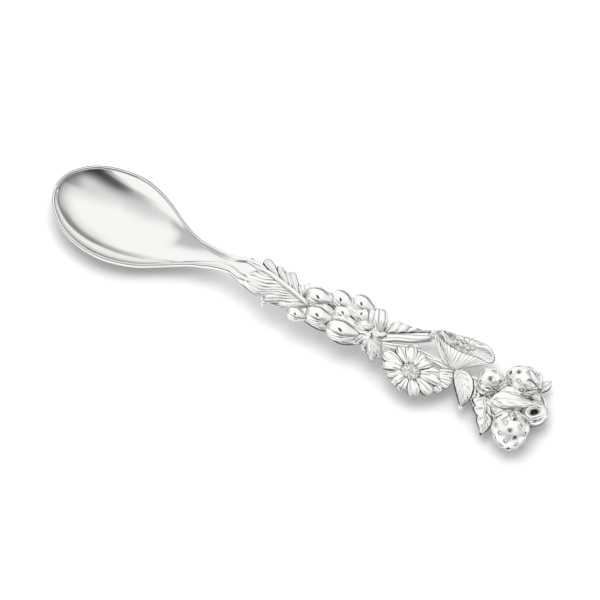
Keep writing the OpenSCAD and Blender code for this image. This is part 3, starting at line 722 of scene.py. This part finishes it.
def almond(bm, middle, heading, length, width, tail=0.3, husks=True, ribs=0, rib=0.0):
    """Almond with a broad back: in husks with a small slit, ribbed, or plain."""
    way = Vector((cos(radians(heading)), sin(radians(heading)), -0.06))
    side = way.cross(UP).normalized()
    normal = side.cross(way)

    def turned(p):
        """Angle round the fruit, 90 on top."""
        angle = degrees(atan2(p.y, p.x))
        return angle + 360 if angle < -90 else angle

    def slit(p):
        return bump(p.z + 0.1, 0.12) * bump(turned(p) - 66 + 50 * p.z, 7) if husks else 0.0

    def spot(p):
        z = p.z
        angle = turned(p)
        round_part = hypot(p.x, p.y)
        power = 2.5 if z < 0 else 2.1
        size = (abs(z) ** power + round_part ** power) ** (-1 / power)
        z *= size
        r = width / 2 * round_part * size * (1 - 0.28 * ease(z) if z > 0 else 1)
        along = z * length / 2 * (1 + (tail * z * z if z > 0 else 0))
        swell = 0.0
        if husks:
            swell = 0.08 * ease((30 + 14 * z - angle) / 5) + 0.08 * ease((2 + 8 * z - angle) / 5)
            swell += 0.06 * ease((angle - 136 + 8 * z) / 5) + 0.06 * ease((angle - 160) / 5)
        if ribs:
            swell += rib * min(1.0, 1.8 * abs(cos(ribs * radians(angle) / 2))) - rib
        r *= 1 + swell * min(1.0, 2.5 * round_part)
        x = p.x / max(round_part, 1e-6)
        y = p.y / max(round_part, 1e-6)
        r *= max(0.1, abs(x) ** 2.9 + abs(y) ** 2.9) ** (-1 / 2.9)
        r -= 0.22 * slit(p)
        return on_handle(*(Vector(middle) + way * along + side * r * x + normal * r * FRUIT_TALL * y))

    def edges(p):
        """Painted shade: dark lines of husks, ribs and slit."""
        angle = turned(p)
        wide = min(1.0, 1.5 * hypot(p.x, p.y))
        if ribs:
            return wide * (1 - ease(abs(cos(ribs * radians(angle) / 2)) / 0.3))
        if not husks:
            return 0.0
        lower = bump(angle - 31 - 14 * p.z, 3) + bump(angle - 3 - 8 * p.z, 3)
        upper = bump(angle - 128 + 8 * p.z, 6)
        return min(1.0, wide * (0.85 * lower + 0.9 * upper) + 2.6 * slit(p))
    bent_ball(bm, 130, 60, spot, edges)


bm = bmesh.new()
almond(bm, (11.5, 1.5, 0.75), -55, 2.0, 1.0, 0.2, False)
almond(bm, (12.1, 2.1, 0.8), -70, 2.3, 1.35, 0.2, False)
finish_piece("two_lobed_bud", bm, "leaf_bud")
# Fruit: along the handle, across it, size, length, and the way its tail points
FRUIT_SKINS = [
    (15.0, 1.2, 1.05, 1.24, 16), (12.8, -4.0, 0.78, 1.2, 10), (16.6, -2.15, 0.99, 1.28, 16),
    (19.3, 2.9, 1.02, 1.2, -6), (20.7, 0.85, 0.84, 1.3, 12), (22.0, -2.75, 1.13, 1.35, 16),
    (23.1, 4.2, 1.0, 1.15, 2), (24.3, 2.2, 0.86, 1.1, -45)]
for k, (u, v, size, stretch, heading) in enumerate(FRUIT_SKINS):
    bm = bmesh.new()
    middle = (u, v, SOLDER + FRUIT_W * size * 0.44)
    almond(bm, middle, heading, FRUIT_LEN * size * stretch, FRUIT_W * size)
    finish_piece(f"fruit_{k + 1}_skin", bm, f"fruit_{k + 1}")
bm = bmesh.new()
almond(bm, (TULIP[0] - 0.7, TULIP[1] + 0.3, 1.6), -66, 5.0, 3.2, 0.1, False, 7, 0.12)
finish_piece("ribbed_bud", bm, "tulip_bud")

# Star leaf: veined lobes that spread from the fruit's stalk
bm = bmesh.new()
STAR_HUB = (27.4, -0.5, 0.9)
for tip_u, tip_v, width in (
        (25, -3.6, 2), (27.6, -4, 2.2), (30.2, -5, 2.4), (31.1, -3.7, 2), (30.7, -2.2, 1.9), (30, -1, 1.6)):
    bend = (mix(STAR_HUB[0], tip_u, 0.5), mix(STAR_HUB[1], tip_v, 0.5), 1.2)
    blade(bm, [STAR_HUB, bend, (tip_u, tip_v, 0.45)], width, 44, 26, crown=0.2, thick=0.4,
          peak=0.6, root=0.9, rib=0.28, veins=4, vein=0.07, teeth=3, tooth=0.2)
finish_piece("veined_star_leaf", bm, "star_leaf")

# Curled leaf on the upper branch, with scooped folds along its upper edge
bm = bmesh.new()
CURLED_FOLDS = 5.2
sheet(bm, [(29, 2.2, 0.6), (29.6, 3.7, 0.8), (30.4, 4.9, 0.95), (31.9, 4.95, 0.95), (33.6, 5.1, 0.85),
           (35.6, 5.6, 0.7), (37.3, 6.5, 0.55)],
      [(29, 1.2, 0.6), (30.4, 1.8, 0.7), (32, 2.7, 0.75), (33.4, 3.6, 0.75), (34.9, 4.6, 0.7),
       (36.2, 5.5, 0.6), (37.3, 6.3, 0.55)],
      lambda s, q: (0.3 + 0.3 * ripple(CURLED_FOLDS * s + 0.5 * q) ** 0.8
                    - 0.12 * q + 0.16 * bump(q + 0.8, 0.2)),
      0.5, 90, 26, lambda s: 0.9 + 0.1 * ripple(CURLED_FOLDS * s - 0.5))
finish_piece("curled_branch_leaf", bm, "curled_leaf")

# Daisy: grooved petals that overlap, round a grained middle
bm = bmesh.new()
MIDDLE = (DAISY[0] - 0.35, DAISY[1] - 0.15)
# Petals: the tip's place along and across the handle, and the width
PETALS = [
    (31.3, -2.4, 2.8), (33.4, 0.5, 2.7), (35.3, 1.6, 2.6), (37.7, 1.6, 2.5), (40.1, 0.6, 2.5),
    (42.8, -0.6, 2.5), (43.7, -2.4, 2.4), (43.2, -5.2, 2.8), (40.6, -7.4, 2.7), (37.8, -7.6, 2.4),
    (35.6, -7, 2.2), (33.8, -5.9, 2.2), (32.2, -4.4, 2.4)]
for k, (tip_u, tip_v, width) in enumerate(PETALS):
    low = 0.25 * (k % 2)
    points = []
    for share, height in ((0.26, 0.8), (0.55, 1.2 - low), (0.82, 1.0 - low), (1.0, 0.55 - low)):
        points.append((mix(MIDDLE[0], tip_u, share), mix(MIDDLE[1], tip_v, share), height))
    blade(bm, points, width, 40, 44, crown=0.08, thick=0.4, peak=0.64, root=0.75, tip=0.36,
          grooves=2 + k % 2, groove=0.2, roll=4 * sin(5 * k))
# Lower petals that show beyond the ring, towards the trumpet
LOWER_ROOT = (41, -2.2, 0.2)
for tip_u, tip_v, width in ((44.6, -3.9, 2.2), (45.5, -2, 2.2), (45.6, -0.9, 2), (44.4, 0.2, 1.8)):
    bend = (mix(LOWER_ROOT[0], tip_u, 0.6), mix(LOWER_ROOT[1], tip_v, 0.6), 0.35)
    blade(bm, [LOWER_ROOT, bend, (tip_u, tip_v, 0.0)], width, 30, 36, crown=0.12, thick=0.4,
          peak=0.6, root=0.8, tip=0.4, grooves=3, groove=0.18)
made = bmesh.ops.create_cone(
    bm, cap_ends=True, segments=32, radius1=2.6 * MM, radius2=2.4 * MM, depth=0.8 * MM)
disc_place = Matrix.Translation(on_handle(*MIDDLE, 0.5) * MM) @ Matrix.Rotation(TILT, 4, "Y")
bmesh.ops.transform(bm, matrix=disc_place, verts=made["verts"])
finish_piece("daisy_petal_ring", bm, "daisy_petals")

# Daisy's middle: grains in a spiral on a low dome
bm = bmesh.new()
GRAINS = 46
for k in range(GRAINS):
    r = 1.75 * sqrt((k + 0.5) / GRAINS)
    angle = k * SPIRAL_TURN + 0.25 * sin(3 * k)
    height = 0.95 + 0.75 * arch(r / 2.1) + 0.06 * sin(7 * k)
    spot = on_handle(MIDDLE[0] + r * cos(angle), MIDDLE[1] + 0.9 * r * sin(angle), height)
    grain = bmesh.ops.create_icosphere(bm, subdivisions=2, radius=(0.22 + 0.04 * sin(5 * k)) * MM)
    bmesh.ops.translate(bm, verts=grain["verts"], vec=spot * MM)
bent_ball(bm, 32, 18, lambda p: on_handle(
    MIDDLE[0] + 1.85 * p.x, MIDDLE[1] + 1.7 * p.y, 0.9 + 0.72 * p.z))
finish_piece("daisy_grained_middle", bm, "daisy_centre", "grained_silver")


# Trumpet flower: a fluted funnel lying on its side, its far lip standing above the near one
LIP = [
    (38.3, 6.2, 2.4), (39.7, 6.9, 2.9), (41.7, 7.2, 3.2), (43.7, 7.6, 3.4), (45.7, 8, 3.4),
    (47.3, 8.2, 3.2), (48.6, 8.3, 2.9), (49.8, 7.8, 2.5), (50.6, 7.1, 2.1), (50.8, 6.2, 1.8),
    (50.1, 5.6, 1.7), (48.8, 5.6, 1.8), (47.4, 5.4, 1.9), (45.4, 5, 2), (43.8, 4.8, 2.05), (42.2, 4.8, 2.1),
    (40.6, 5, 2.2), (39.3, 5.4, 2.3)]
THROAT = Vector((44.4, 6.1, 1.7))
CALYX = Vector((44.4, 1.9, 1))
FLUTES = 37
# Shares of the skin where the outside ends and the inside begins, and of the mouth that the lip takes
OUTER_SHARE = 0.56
INNER_SHARE = 0.62
LIP_SHARE = 0.07


def lip_at(t):
    """Point on the closed lip."""
    count = len(LIP)
    k = int(t * count)
    a, b, c, d = [Vector(LIP[(k + j) % count]) for j in (-1, 0, 1, 2)]
    return smooth(a, b, c, d, t * count - k)


def flutes(t):
    return ripple(FLUTES * t + 0.3 * sin(19 * t))


def flute_shade_lines(s, t):
    """Painted shade: dark lines between the flutes and along the lip."""
    between = 1 - ease(flutes(t % 1.0) / 0.34)
    uneven = 0.6 + 0.4 * sin(57 * t + 8 * s)
    fade = ease((s - 0.08) / 0.2) * ease((0.96 - s) / 0.2) * ease(abs(s - 0.59) / 0.04)
    return max(between * uneven * fade, bump(s - 0.575, 0.016))


def trumpet_skin(s, t):
    """Point on the skin: up the outside, over the lip and down to the throat."""
    lip = lip_at(t % 1.0)
    away = lip - THROAT
    lip += away.normalized() * 0.16 * (min(1.0, 1.5 * flutes(t % 1.0)) - 0.7)
    angle = atan2(lip.y - THROAT.y, lip.x - THROAT.x)
    far = ease((lip.y - 5.4) / 1.4)
    fold = 0.11 * (min(1.0, 1.9 * flutes(t % 1.0)) - 0.7)
    if s < OUTER_SHARE:
        share = s / OUTER_SHARE
        root = CALYX + Vector((1.1 * cos(angle), 0.75 * sin(angle), 0.45 * (0.3 - 0.7 * far)))
        swell = mix(root, lip, mix(0.5, 0.72, far))
        swell.z = mix(swell.z + 0.45, 0.1, far)
        k = share ** 0.95
        p = root * (1 - k) ** 2 + swell * 2 * k * (1 - k) + lip * k * k
        p += Vector((0, -0.35 * (1 - far), 1.0 - 1.4 * far)) * fold * min(1.0, 1.6 * share)
        if share < 0.04:
            p = mix(CALYX, p, share / 0.04)
    elif s < INNER_SHARE:
        k = (s - OUTER_SHARE) / (INNER_SHARE - OUTER_SHARE)
        p = lip - away * LIP_SHARE * k + Vector((0, 0, 0.14 * sin(pi * k)))
        p.z += fold * (1 - k) * (1 - 1.4 * far)
    else:
        k = (s - INNER_SHARE) / (1 - INNER_SHARE)
        p = lip - away * mix(LIP_SHARE, 1, k)
        p.z = mix(lip.z, THROAT.z, sin(pi / 2 * k) ** 0.8)
        p.z += 0.5 * fold * sin(pi * min(1.0, 1.3 * k + 0.08))
    return on_handle(*p)


bm = bmesh.new()
bent_grid(bm, 90, 430, trumpet_skin, flute_shade_lines)
strands([(38.3, 6, 1.2), (39.4, 5, 1.3), (41, 3.4, 1), (43.6, 2, 0.7)], 3, 0.42, 0.3)
strands([(39, 6.6, 2.6), (40.2, 5.9, 2.7), (41.6, 5.4, 2.5), (42.8, 5.4, 2.1)], 2, 0.4, 0.24)
finish_piece("fluted_trumpet", bm, "trumpet_flower")

# Stamens: small heads on threads out of the throat
bm = bmesh.new()
for u, v, h, r in ((42.4, 6.1, 2.3, 0.42), (43.1, 6.4, 2.3, 0.36), (43.7, 6.1, 2.2, 0.44),
                   (44.5, 6.4, 2.2, 0.4), (45.1, 6.2, 2.1, 0.4), (45.9, 6.6, 2.2, 0.38),
                   (44.0, 6.8, 2.4, 0.3)):
    bent_ball(bm, 16, 12, lambda p: on_handle(u + 1.3 * r * p.x, v + 0.8 * r * p.y, h + r * p.z))
    bend = (mix(u, THROAT.x, 0.6), mix(v, THROAT.y, 0.6), h - 0.5)
    tube(bm, [(u, v, h), bend, tuple(THROAT)], lambda s: 0.16, 1.0, 12, 8)
finish_piece("trumpet_stamens", bm, "trumpet_pistil", "grained_silver")


def veined(s, from_rib, veins, sweep, height, fade=3):
    """Waves between a leaf's side veins, which fade towards its midrib."""
    wave = cos(2 * pi * (veins * s - sweep * abs(from_rib)))
    return height * wave * min(1.0, fade * abs(from_rib))


# Leaf that hangs over the near side, folded along its middle, with a curled tip
bm = bmesh.new()
sheet(bm, [(44.6, 1.2, 0.7), (45.3, -0.2, 0.7), (46.2, -1.5, 0.6), (47.6, -3, 0.4), (49, -4.4, 0.15),
           (49.5, -4.9, 0.05)],
      [(45.6, 2.2, 0.8), (47.4, 2.2, 0.85), (49, 1.4, 0.85), (50, -0.4, 0.75), (50.2, -2.6, 0.5),
       (49.5, -4.9, 0.05)],
      lambda s, q: (0.35 + 0.35 * bump(q + 0.1, 0.5) + 0.16 * bump(q + 0.12, 0.08)
                    + veined(s, q + 0.1, 6, 1.2, 0.07) + 0.12 * bump(q - 0.84, 0.12)),
      0.45, 60, 40)
tube(bm, [(48.9, -4.5, 0.2), (49.5, -4.9, 0.5), (50.1, -4.6, 0.3)], lambda s: 0.34, 1.0, 16, 12)
finish_piece("hanging_side_leaf", bm, "hanging_leaf")

# Pointed leaf beside the small berry, with a strong midrib and lobed edges
bm = bmesh.new()
sheet(bm, [(51.4, 0.2, 1), (50.5, -1.4, 0.9), (50.9, -3.1, 0.95), (52.1, -4.6, 1), (53.8, -6.4, 0.9),
           (55.5, -8.3, 0.7)],
      [(52.4, 0.4, 1.4), (54.2, -0.8, 1.6), (55.6, -2.4, 1.6), (56.2, -4.2, 1.4), (56.4, -6.2, 1),
       (55.5, -8.3, 0.7)],
      lambda s, q: (0.3 + 0.42 * bump(q - 0.12, 0.09) + 0.3 * abs(q - 0.12) ** 1.5
                    + veined(s, q - 0.12, 5.5, 0.9, 0.13)),
      0.5, 80, 44, lambda s: 0.86 + 0.14 * ripple(4.5 * s))
finish_piece("pointed_side_leaf", bm, "pointed_leaf")


def crown_shade(s, t):
    """Painted shade: faint line along the edge, and grey hollows towards both ends."""
    q = across_strip(t)
    hollows = 0.46 * bump(s - 0.2, 0.1) * bump(q + 0.2, 0.4) + 0.44 * bump(s - 0.74, 0.1) * bump(q, 0.5)
    return max(0.4 * painted_leaf_edge(s, t), hollows)


# Broad soft leaf over the berries, its near edge rolled into a bright line
bm = bmesh.new()
sheet(bm, [(53.9, -2.2, 3.9), (54.5, -0.4, 4.3), (55.8, 0.8, 4.5), (58, 1.3, 4.5), (60.1, 1.6, 4.3),
           (62.6, 1.8, 3.9)],
      [(53.9, -2.2, 3.9), (56, -2.6, 4.2), (57.8, -2.1, 4.4), (59.9, -0.8, 4.4), (61.4, 0.5, 4.2),
       (62.6, 1.8, 3.9)],
      lambda s, q: (0.25 + 0.3 * (1 - q * q) + 0.16 * bump(q - 0.82, 0.14) + 0.12 * bump(q + 0.1, 0.1)
                    + veined(s, q, 4.2, 0.7, 0.05, 2)),
      0.4, 60, 36, None, crown_shade)
tube(bm, [(60.6, 0.4, 4.3), (61.8, 1.2, 4.4), (62.9, 2, 4)], lambda s: 0.3, 1.0, 20, 12)
tube(bm, [(CROWN[0], CROWN[1], -0.6), (CROWN[0] + 0.1, CROWN[1], 2.2),
          (CROWN[0] + 0.3, CROWN[1] + 0.02, 4.4)],
     lambda s: 0.55, 1.0, 16, 12)
finish_piece("berry_crown_leaf", bm, "crown_leaf")

# Small leaf at the far corner, whose stalk runs round the end
bm = bmesh.new()
sheet(bm, [(59.6, 6.3, 0.9), (60.7, 7.5, 1.4), (62.4, 8.5, 1.7)],
      [(61.8, 5.3, 0.9), (62.8, 6.9, 1.3), (62.4, 8.5, 1.7)],
      lambda s, q: 0.25 + 0.2 * bump(q, 0.15) + 0.15 * bump(abs(q) - 0.8, 0.15), 0.4, 26, 20)
tube(bm, [(61.6, 5.8, 0.9), (61.9, 4.9, 1.4), (63.1, 4, 1.8), (64.1, 2.6, 1.9), (64.7, 0.8, 1.7),
          (64.3, -0.9, 1.4)],
     lambda s: 0.36, 1.0, 40, 12)
finish_piece("berry_tip_leaf", bm, "tip_leaf")


# Strawberries with ringed pits, and their sepals
def berry_place(at, width, heading, dip):
    """Puts an upright berry's points on the handle, turned and tipped."""
    turn = Matrix.Rotation(radians(heading), 3, "Z") @ Matrix.Rotation(radians(dip), 3, "Y")

    def place(p):
        q = turn @ p
        share = min(1.0, abs(q.z) / (width / 2))
        level = copysign(max(abs(q.z), width / 2 * (1 - (1 - share ** 2) ** 1.25) ** 0.4), q.z)
        return on_handle(at[0] + q.x, at[1] + q.y, SOLDER + (level + width / 2) * BERRY_FLAT)
    return place


def berry_skin(width, length, turn, around, out):
    """Point on an upright berry, from the angles off its stalk and round it."""
    r = (width / 2 + out) * sin(turn) * (1 + BERRY_TAPER * cos(turn))
    return Vector((r * cos(around), r * sin(around), (length / 2 + out) * cos(turn)))


def strawberry(name, node, at, width, length, heading, dip, pits, pit_r):
    """Berry with ringed pits, some of them deep, and painted shade that darkens the pits and their rings,
    the deep ones most.
    """
    bm = bmesh.new()
    place = berry_place(at, width, heading, dip)
    centres = KDTree(pits)
    for k in range(pits):
        turn = acos(1 - 2 * (k + 0.5) / pits)
        around = k * SPIRAL_TURN
        flat = sin(turn)
        centres.insert((flat * cos(around), flat * sin(around), cos(turn)), k)
    centres.balance()

    def pit_at(p):
        """Distance from the nearest pit, in its radius, and whether it is deep."""
        co, k, far = centres.find(p)
        return far * width / 2 / pit_r, k % 7 in (3, 4)

    def spot(p):
        share, deep = pit_at(p)
        out = 0.0
        if share < 1.7:
            out = -(0.3 if deep else 0.12) * (1 - ease((share - 0.7) / 0.25))
            out += 0.1 * bump(share - 1.15, 0.18) - 0.1 * bump(share - 0.78, 0.16)
        turn = acos(max(-1, min(1, p.z)))
        return place(berry_skin(width, length, turn, atan2(p.y, p.x), out))

    # Painted shade: black middles in the deep pits, grey middles in the others, and a dark ring round each
    def pit_shade(p):
        share, deep = pit_at(p)
        if deep:
            middle = 1 - ease((share - 0.42) / 0.2)
        else:
            middle = 0.47 * (1 - ease((share - 0.6) / 0.15))
        return max(middle, 0.85 * bump(share - 0.84, 0.11))
    bent_ball(bm, 190, 124, spot, pit_shade)
    finish_piece(name, bm, node, material=frosted_silver)


def sepals(name, node, at, width, length, heading, dip, count, spread):
    """Pointed sepals that spread from a berry's stalk, by an angle in degrees."""
    bm = bmesh.new()
    place = berry_place(at, width, heading, dip)
    for k in range(count):
        middle = 2 * pi * k / count
        reach = radians(spread + 8 * sin(2.3 * k))

        def spot(s, t, upper):
            q = 2 * t - 1
            half = 0.5 * 2 * pi / count * sin(pi * min(1.0, 0.12 + 0.88 * s)) ** 0.9
            out = 0.1 + 0.22 * s * s
            if upper:
                out += 0.28 * min(1.0, 3 * (1 - q * q)) * min(1.0, 6 * (1 - s))
                out += 0.12 * bump(q, 0.2) * (1 - s)
            squeeze = sin(reach * 0.55) / max(0.18, sin(max(0.02, reach * s)))
            around = middle + q * half * min(1.0, squeeze)
            return place(berry_skin(width, length, reach * s, around, out))
        two_skins(bm, 20, 14, spot)
    finish_piece(name, bm, node, "grained_silver", FINISHES["cast_silver"])


# Berries: middle, width, length, and the way and the angle at which the stalk end points
BERRIES = {
    "small": ((SMALL[0] - 0.35, SMALL[1] - 0.3), 5.2, 5.2, -40, 70),
    "left": ((LEFT[0] - 0.5, LEFT[1] - 0.1), BERRY_W, BERRY_LEN, -8, 72),
    "right": ((RIGHT[0] - 0.35, RIGHT[1] - 0.3), BERRY_RIGHT, BERRY_RIGHT, 112, 64)}
for side, pits, pit_r in (("small", 20, 0.56), ("left", 32, 0.55), ("right", 40, 0.6)):
    strawberry(f"strawberry_{side}", f"berry_{side}", *BERRIES[side], pits, pit_r)
for side, count, spread in (("small", 6, 52), ("left", 7, 70), ("right", 10, 58)):
    sepals(f"sepals_{side}", f"calyx_{side}", *BERRIES[side], count, spread)

# Unripe berry at the end: smooth, banded on its outer side, with a deep eye at the top
bm = bmesh.new()
place_end = berry_place((END[0] - 0.2, END[1] - 0.3), BERRY_END, 0, 0)
EYE = Vector((0.06, -0.16, 0.97)).normalized()
SLANT_ANGLE = radians(48)
EYE_SLANT = Vector((cos(SLANT_ANGLE), sin(SLANT_ANGLE)))
EYE_EDGE = 28


def eye_gap(p):
    """Angle from the eye, stretched so that equal values lie on a slanting oval."""
    gap = degrees(acos(max(-1.0, min(1.0, p.dot(EYE)))))
    from_eye = Vector((p.x - EYE.x, p.y - EYE.y))
    along = from_eye.dot(EYE_SLANT) / max(from_eye.length, 0.001)
    return gap * mix(1.75, 1.0, along * along)


def end_skin(p):
    gap = eye_gap(p)
    outer = ease((p.x - 0.5 * p.y + 0.1) / 0.5)
    out = -1.9 * (1 - ease((gap - EYE_EDGE) / 7)) + 0.12 * bump(gap - 42, 6)
    out += outer * (0.12 * ease((gap - 56) / 6) + 0.14 * ease((gap - 82) / 6))
    around = atan2(p.y, p.x)
    return place_end(berry_skin(BERRY_END - 0.2, BERRY_END, acos(p.z), around, out))


# Painted shade: dark in the deep eye and just round its edge
def eye_shade(p):
    return 1 - ease((eye_gap(p) - EYE_EDGE - 1) / 5)


bent_ball(bm, 120, 100, end_skin, eye_shade)
finish_piece("unripe_berry", bm, "berry_end")

# Floor: a white sweep that keeps the soft shadow, made deeper by a painted shadow where pieces close round
# it
FLOOR_M = 1.5
FLOOR_LIFT = 0.2
PAINTED_SHADOW_MM = 9.0
floor_material = bpy.data.materials.new("white_paper")
floor_material.use_nodes = True
tree = floor_material.node_tree
floor_shader = tree.nodes["Principled BSDF"]
seen = add(tree, "LightPath").outputs
shown = seen["Is Camera Ray"]
for ray in ("Is Glossy Ray", "Is Transmission Ray"):
    shown = reckon(tree, "MAXIMUM", shown, seen[ray])
# Painted shadow: ambient occlusion darkens the paper's colour and its white glow where pieces close round
# it
cover = add(tree, "AmbientOcclusion", {"samples": 6}, {"Distance": PAINTED_SHADOW_MM * MM})
under = ramp(tree, cover.outputs["AO"], 0.25, 0.95, 0.6, 1.0)
bare = blend(tree, shown, colour("EDEDED"), colour("FFFFFF"))
paper_tone_with_painted_shadow = blend(tree, under, colour("000000"), bare)
feed(floor_shader, {"Base Color": paper_tone_with_painted_shadow, "Roughness": 0.9, "Specular IOR Level": 0.0})
white = add(tree, "Emission", None, {"Color": colour("FFFFFF"), "Strength": under})
paper = add(tree, "MixShader", None, {
    "Fac": reckon(tree, "MULTIPLY", shown, FLOOR_LIFT),
    1: floor_shader.outputs["BSDF"], 2: white.outputs["Emission"]})
feed(tree.nodes["Material Output"], {"Surface": paper.outputs["Shader"]})
bm = bmesh.new()
bmesh.ops.create_grid(bm, x_segments=1, y_segments=1, size=FLOOR_M)
floor = mesh_object("floor", bm, floor_material)

# Camera: long lens, 64 degrees above the table, the spoon turned across the picture
ELEVATION = radians(64)
SLANT = radians(27.856)
RIGHTWARD = Vector((cos(SLANT), sin(SLANT), 0))
AWAY = Vector((-sin(SLANT), cos(SLANT), 0))
TARGET = Vector((39.4, 0.92, 4))
FRAME_MM = 600 / 5.17
DISTANCE_MM = 4000.0
SENSOR_MM = 36
towards = -AWAY * cos(ELEVATION) + UP * sin(ELEVATION)
upward = AWAY * sin(ELEVATION) + UP * cos(ELEVATION)
camera_data = bpy.data.cameras.new("camera")
camera_data.sensor_width = SENSOR_MM
camera_data.lens = SENSOR_MM * DISTANCE_MM / FRAME_MM
camera_data.clip_end = 100
camera = bpy.data.objects.new("camera", camera_data)
turned = Matrix((RIGHTWARD, upward, towards)).transposed()
camera.matrix_world = Matrix.Translation((TARGET + towards * DISTANCE_MM) * MM) @ turned.to_4x4()
scene.collection.objects.link(camera)
scene.camera = camera

# Light: a white tent, greyer on the camera's side, with a dark opening there and a dim lower edge
world = bpy.data.worlds.new("white_tent")
scene.world = world
world.use_nodes = True
tree = world.node_tree
where = add(tree, "TexCoord").outputs["Generated"]
PANEL = -0.66 * RIGHTWARD - 0.75 * AWAY
across, away, slant, height = [
    add(tree, "VectorMath", {"operation": "DOT_PRODUCT"}, {0: where, 1: way}).outputs["Value"]
    for way in (RIGHTWARD, AWAY, PANEL, UP)]


def dimmed(tone, limits, amount):
    """Takes away light where each direction lies past its limits."""
    cover = 1.0
    for value, start, end in limits:
        cover = reckon(tree, "MULTIPLY", cover, ramp(tree, value, start, end))
    return reckon(tree, "MULTIPLY", tone, reckon(tree, "MULTIPLY_ADD", cover, -amount, 1.0))


tone = 0.97
for limits, amount in (
        ([(away, 0.12, -0.47), (slant, 0.72, 0.61)], 0.29),
        ([(slant, 0.14, 0.62), (away, -0.22, -0.68), (slant, 0.825, 0.695)], 0.83),
        ([(away, -0.55, -1.22), (slant, 0.88, 0.82)], 0.84),
        ([(across, 0.45, 0.77), (away, -0.27, -0.44)], 0.38),
        ([(across, 0.0, -0.5), (away, 0.3, -0.1), (slant, 0.75, 0.46)], 0.2),
        ([(across, -0.25, -0.62), (height, 0.76, 0.54), (away, 0.78, 0.5), (away, -0.15, 0.1)], 0.46),
        ([(across, -0.2, 0.15), (height, 0.44, 0.26), (away, 0.3, 0.6)], 0.48),
        ([(height, 0.74, 0.05), (across, 0.09, 0.41)], 0.56),
        ([(height, 0.14, 0.02), (across, -0.2, 0.2)], 0.6)):
    tone = dimmed(tone, limits, amount)
feed(tree.nodes["Background"], {"Color": tone})

# Soft box over the spoon: width and depth in metres, power in watts, and its distance
BOX_W = 0.52
BOX_D = 0.5
BOX_WATTS = 4.6
BOX_FAR = 0.9
lamp_data = bpy.data.lights.new("soft_box", "AREA")
lamp_data.shape = "RECTANGLE"
lamp_data.size = BOX_W
lamp_data.size_y = BOX_D
lamp_data.energy = BOX_WATTS
lamp = bpy.data.objects.new("soft_box", lamp_data)
lamp_way = (AWAY * 0.05 - RIGHTWARD * 0.03 + UP).normalized()
lamp.location = TARGET * MM + lamp_way * BOX_FAR
lamp.rotation_euler = lamp_way.to_track_quat("Z", "Y").to_euler()
lamp.visible_glossy = False
scene.collection.objects.link(lamp)

scene.view_settings.view_transform = "Standard"
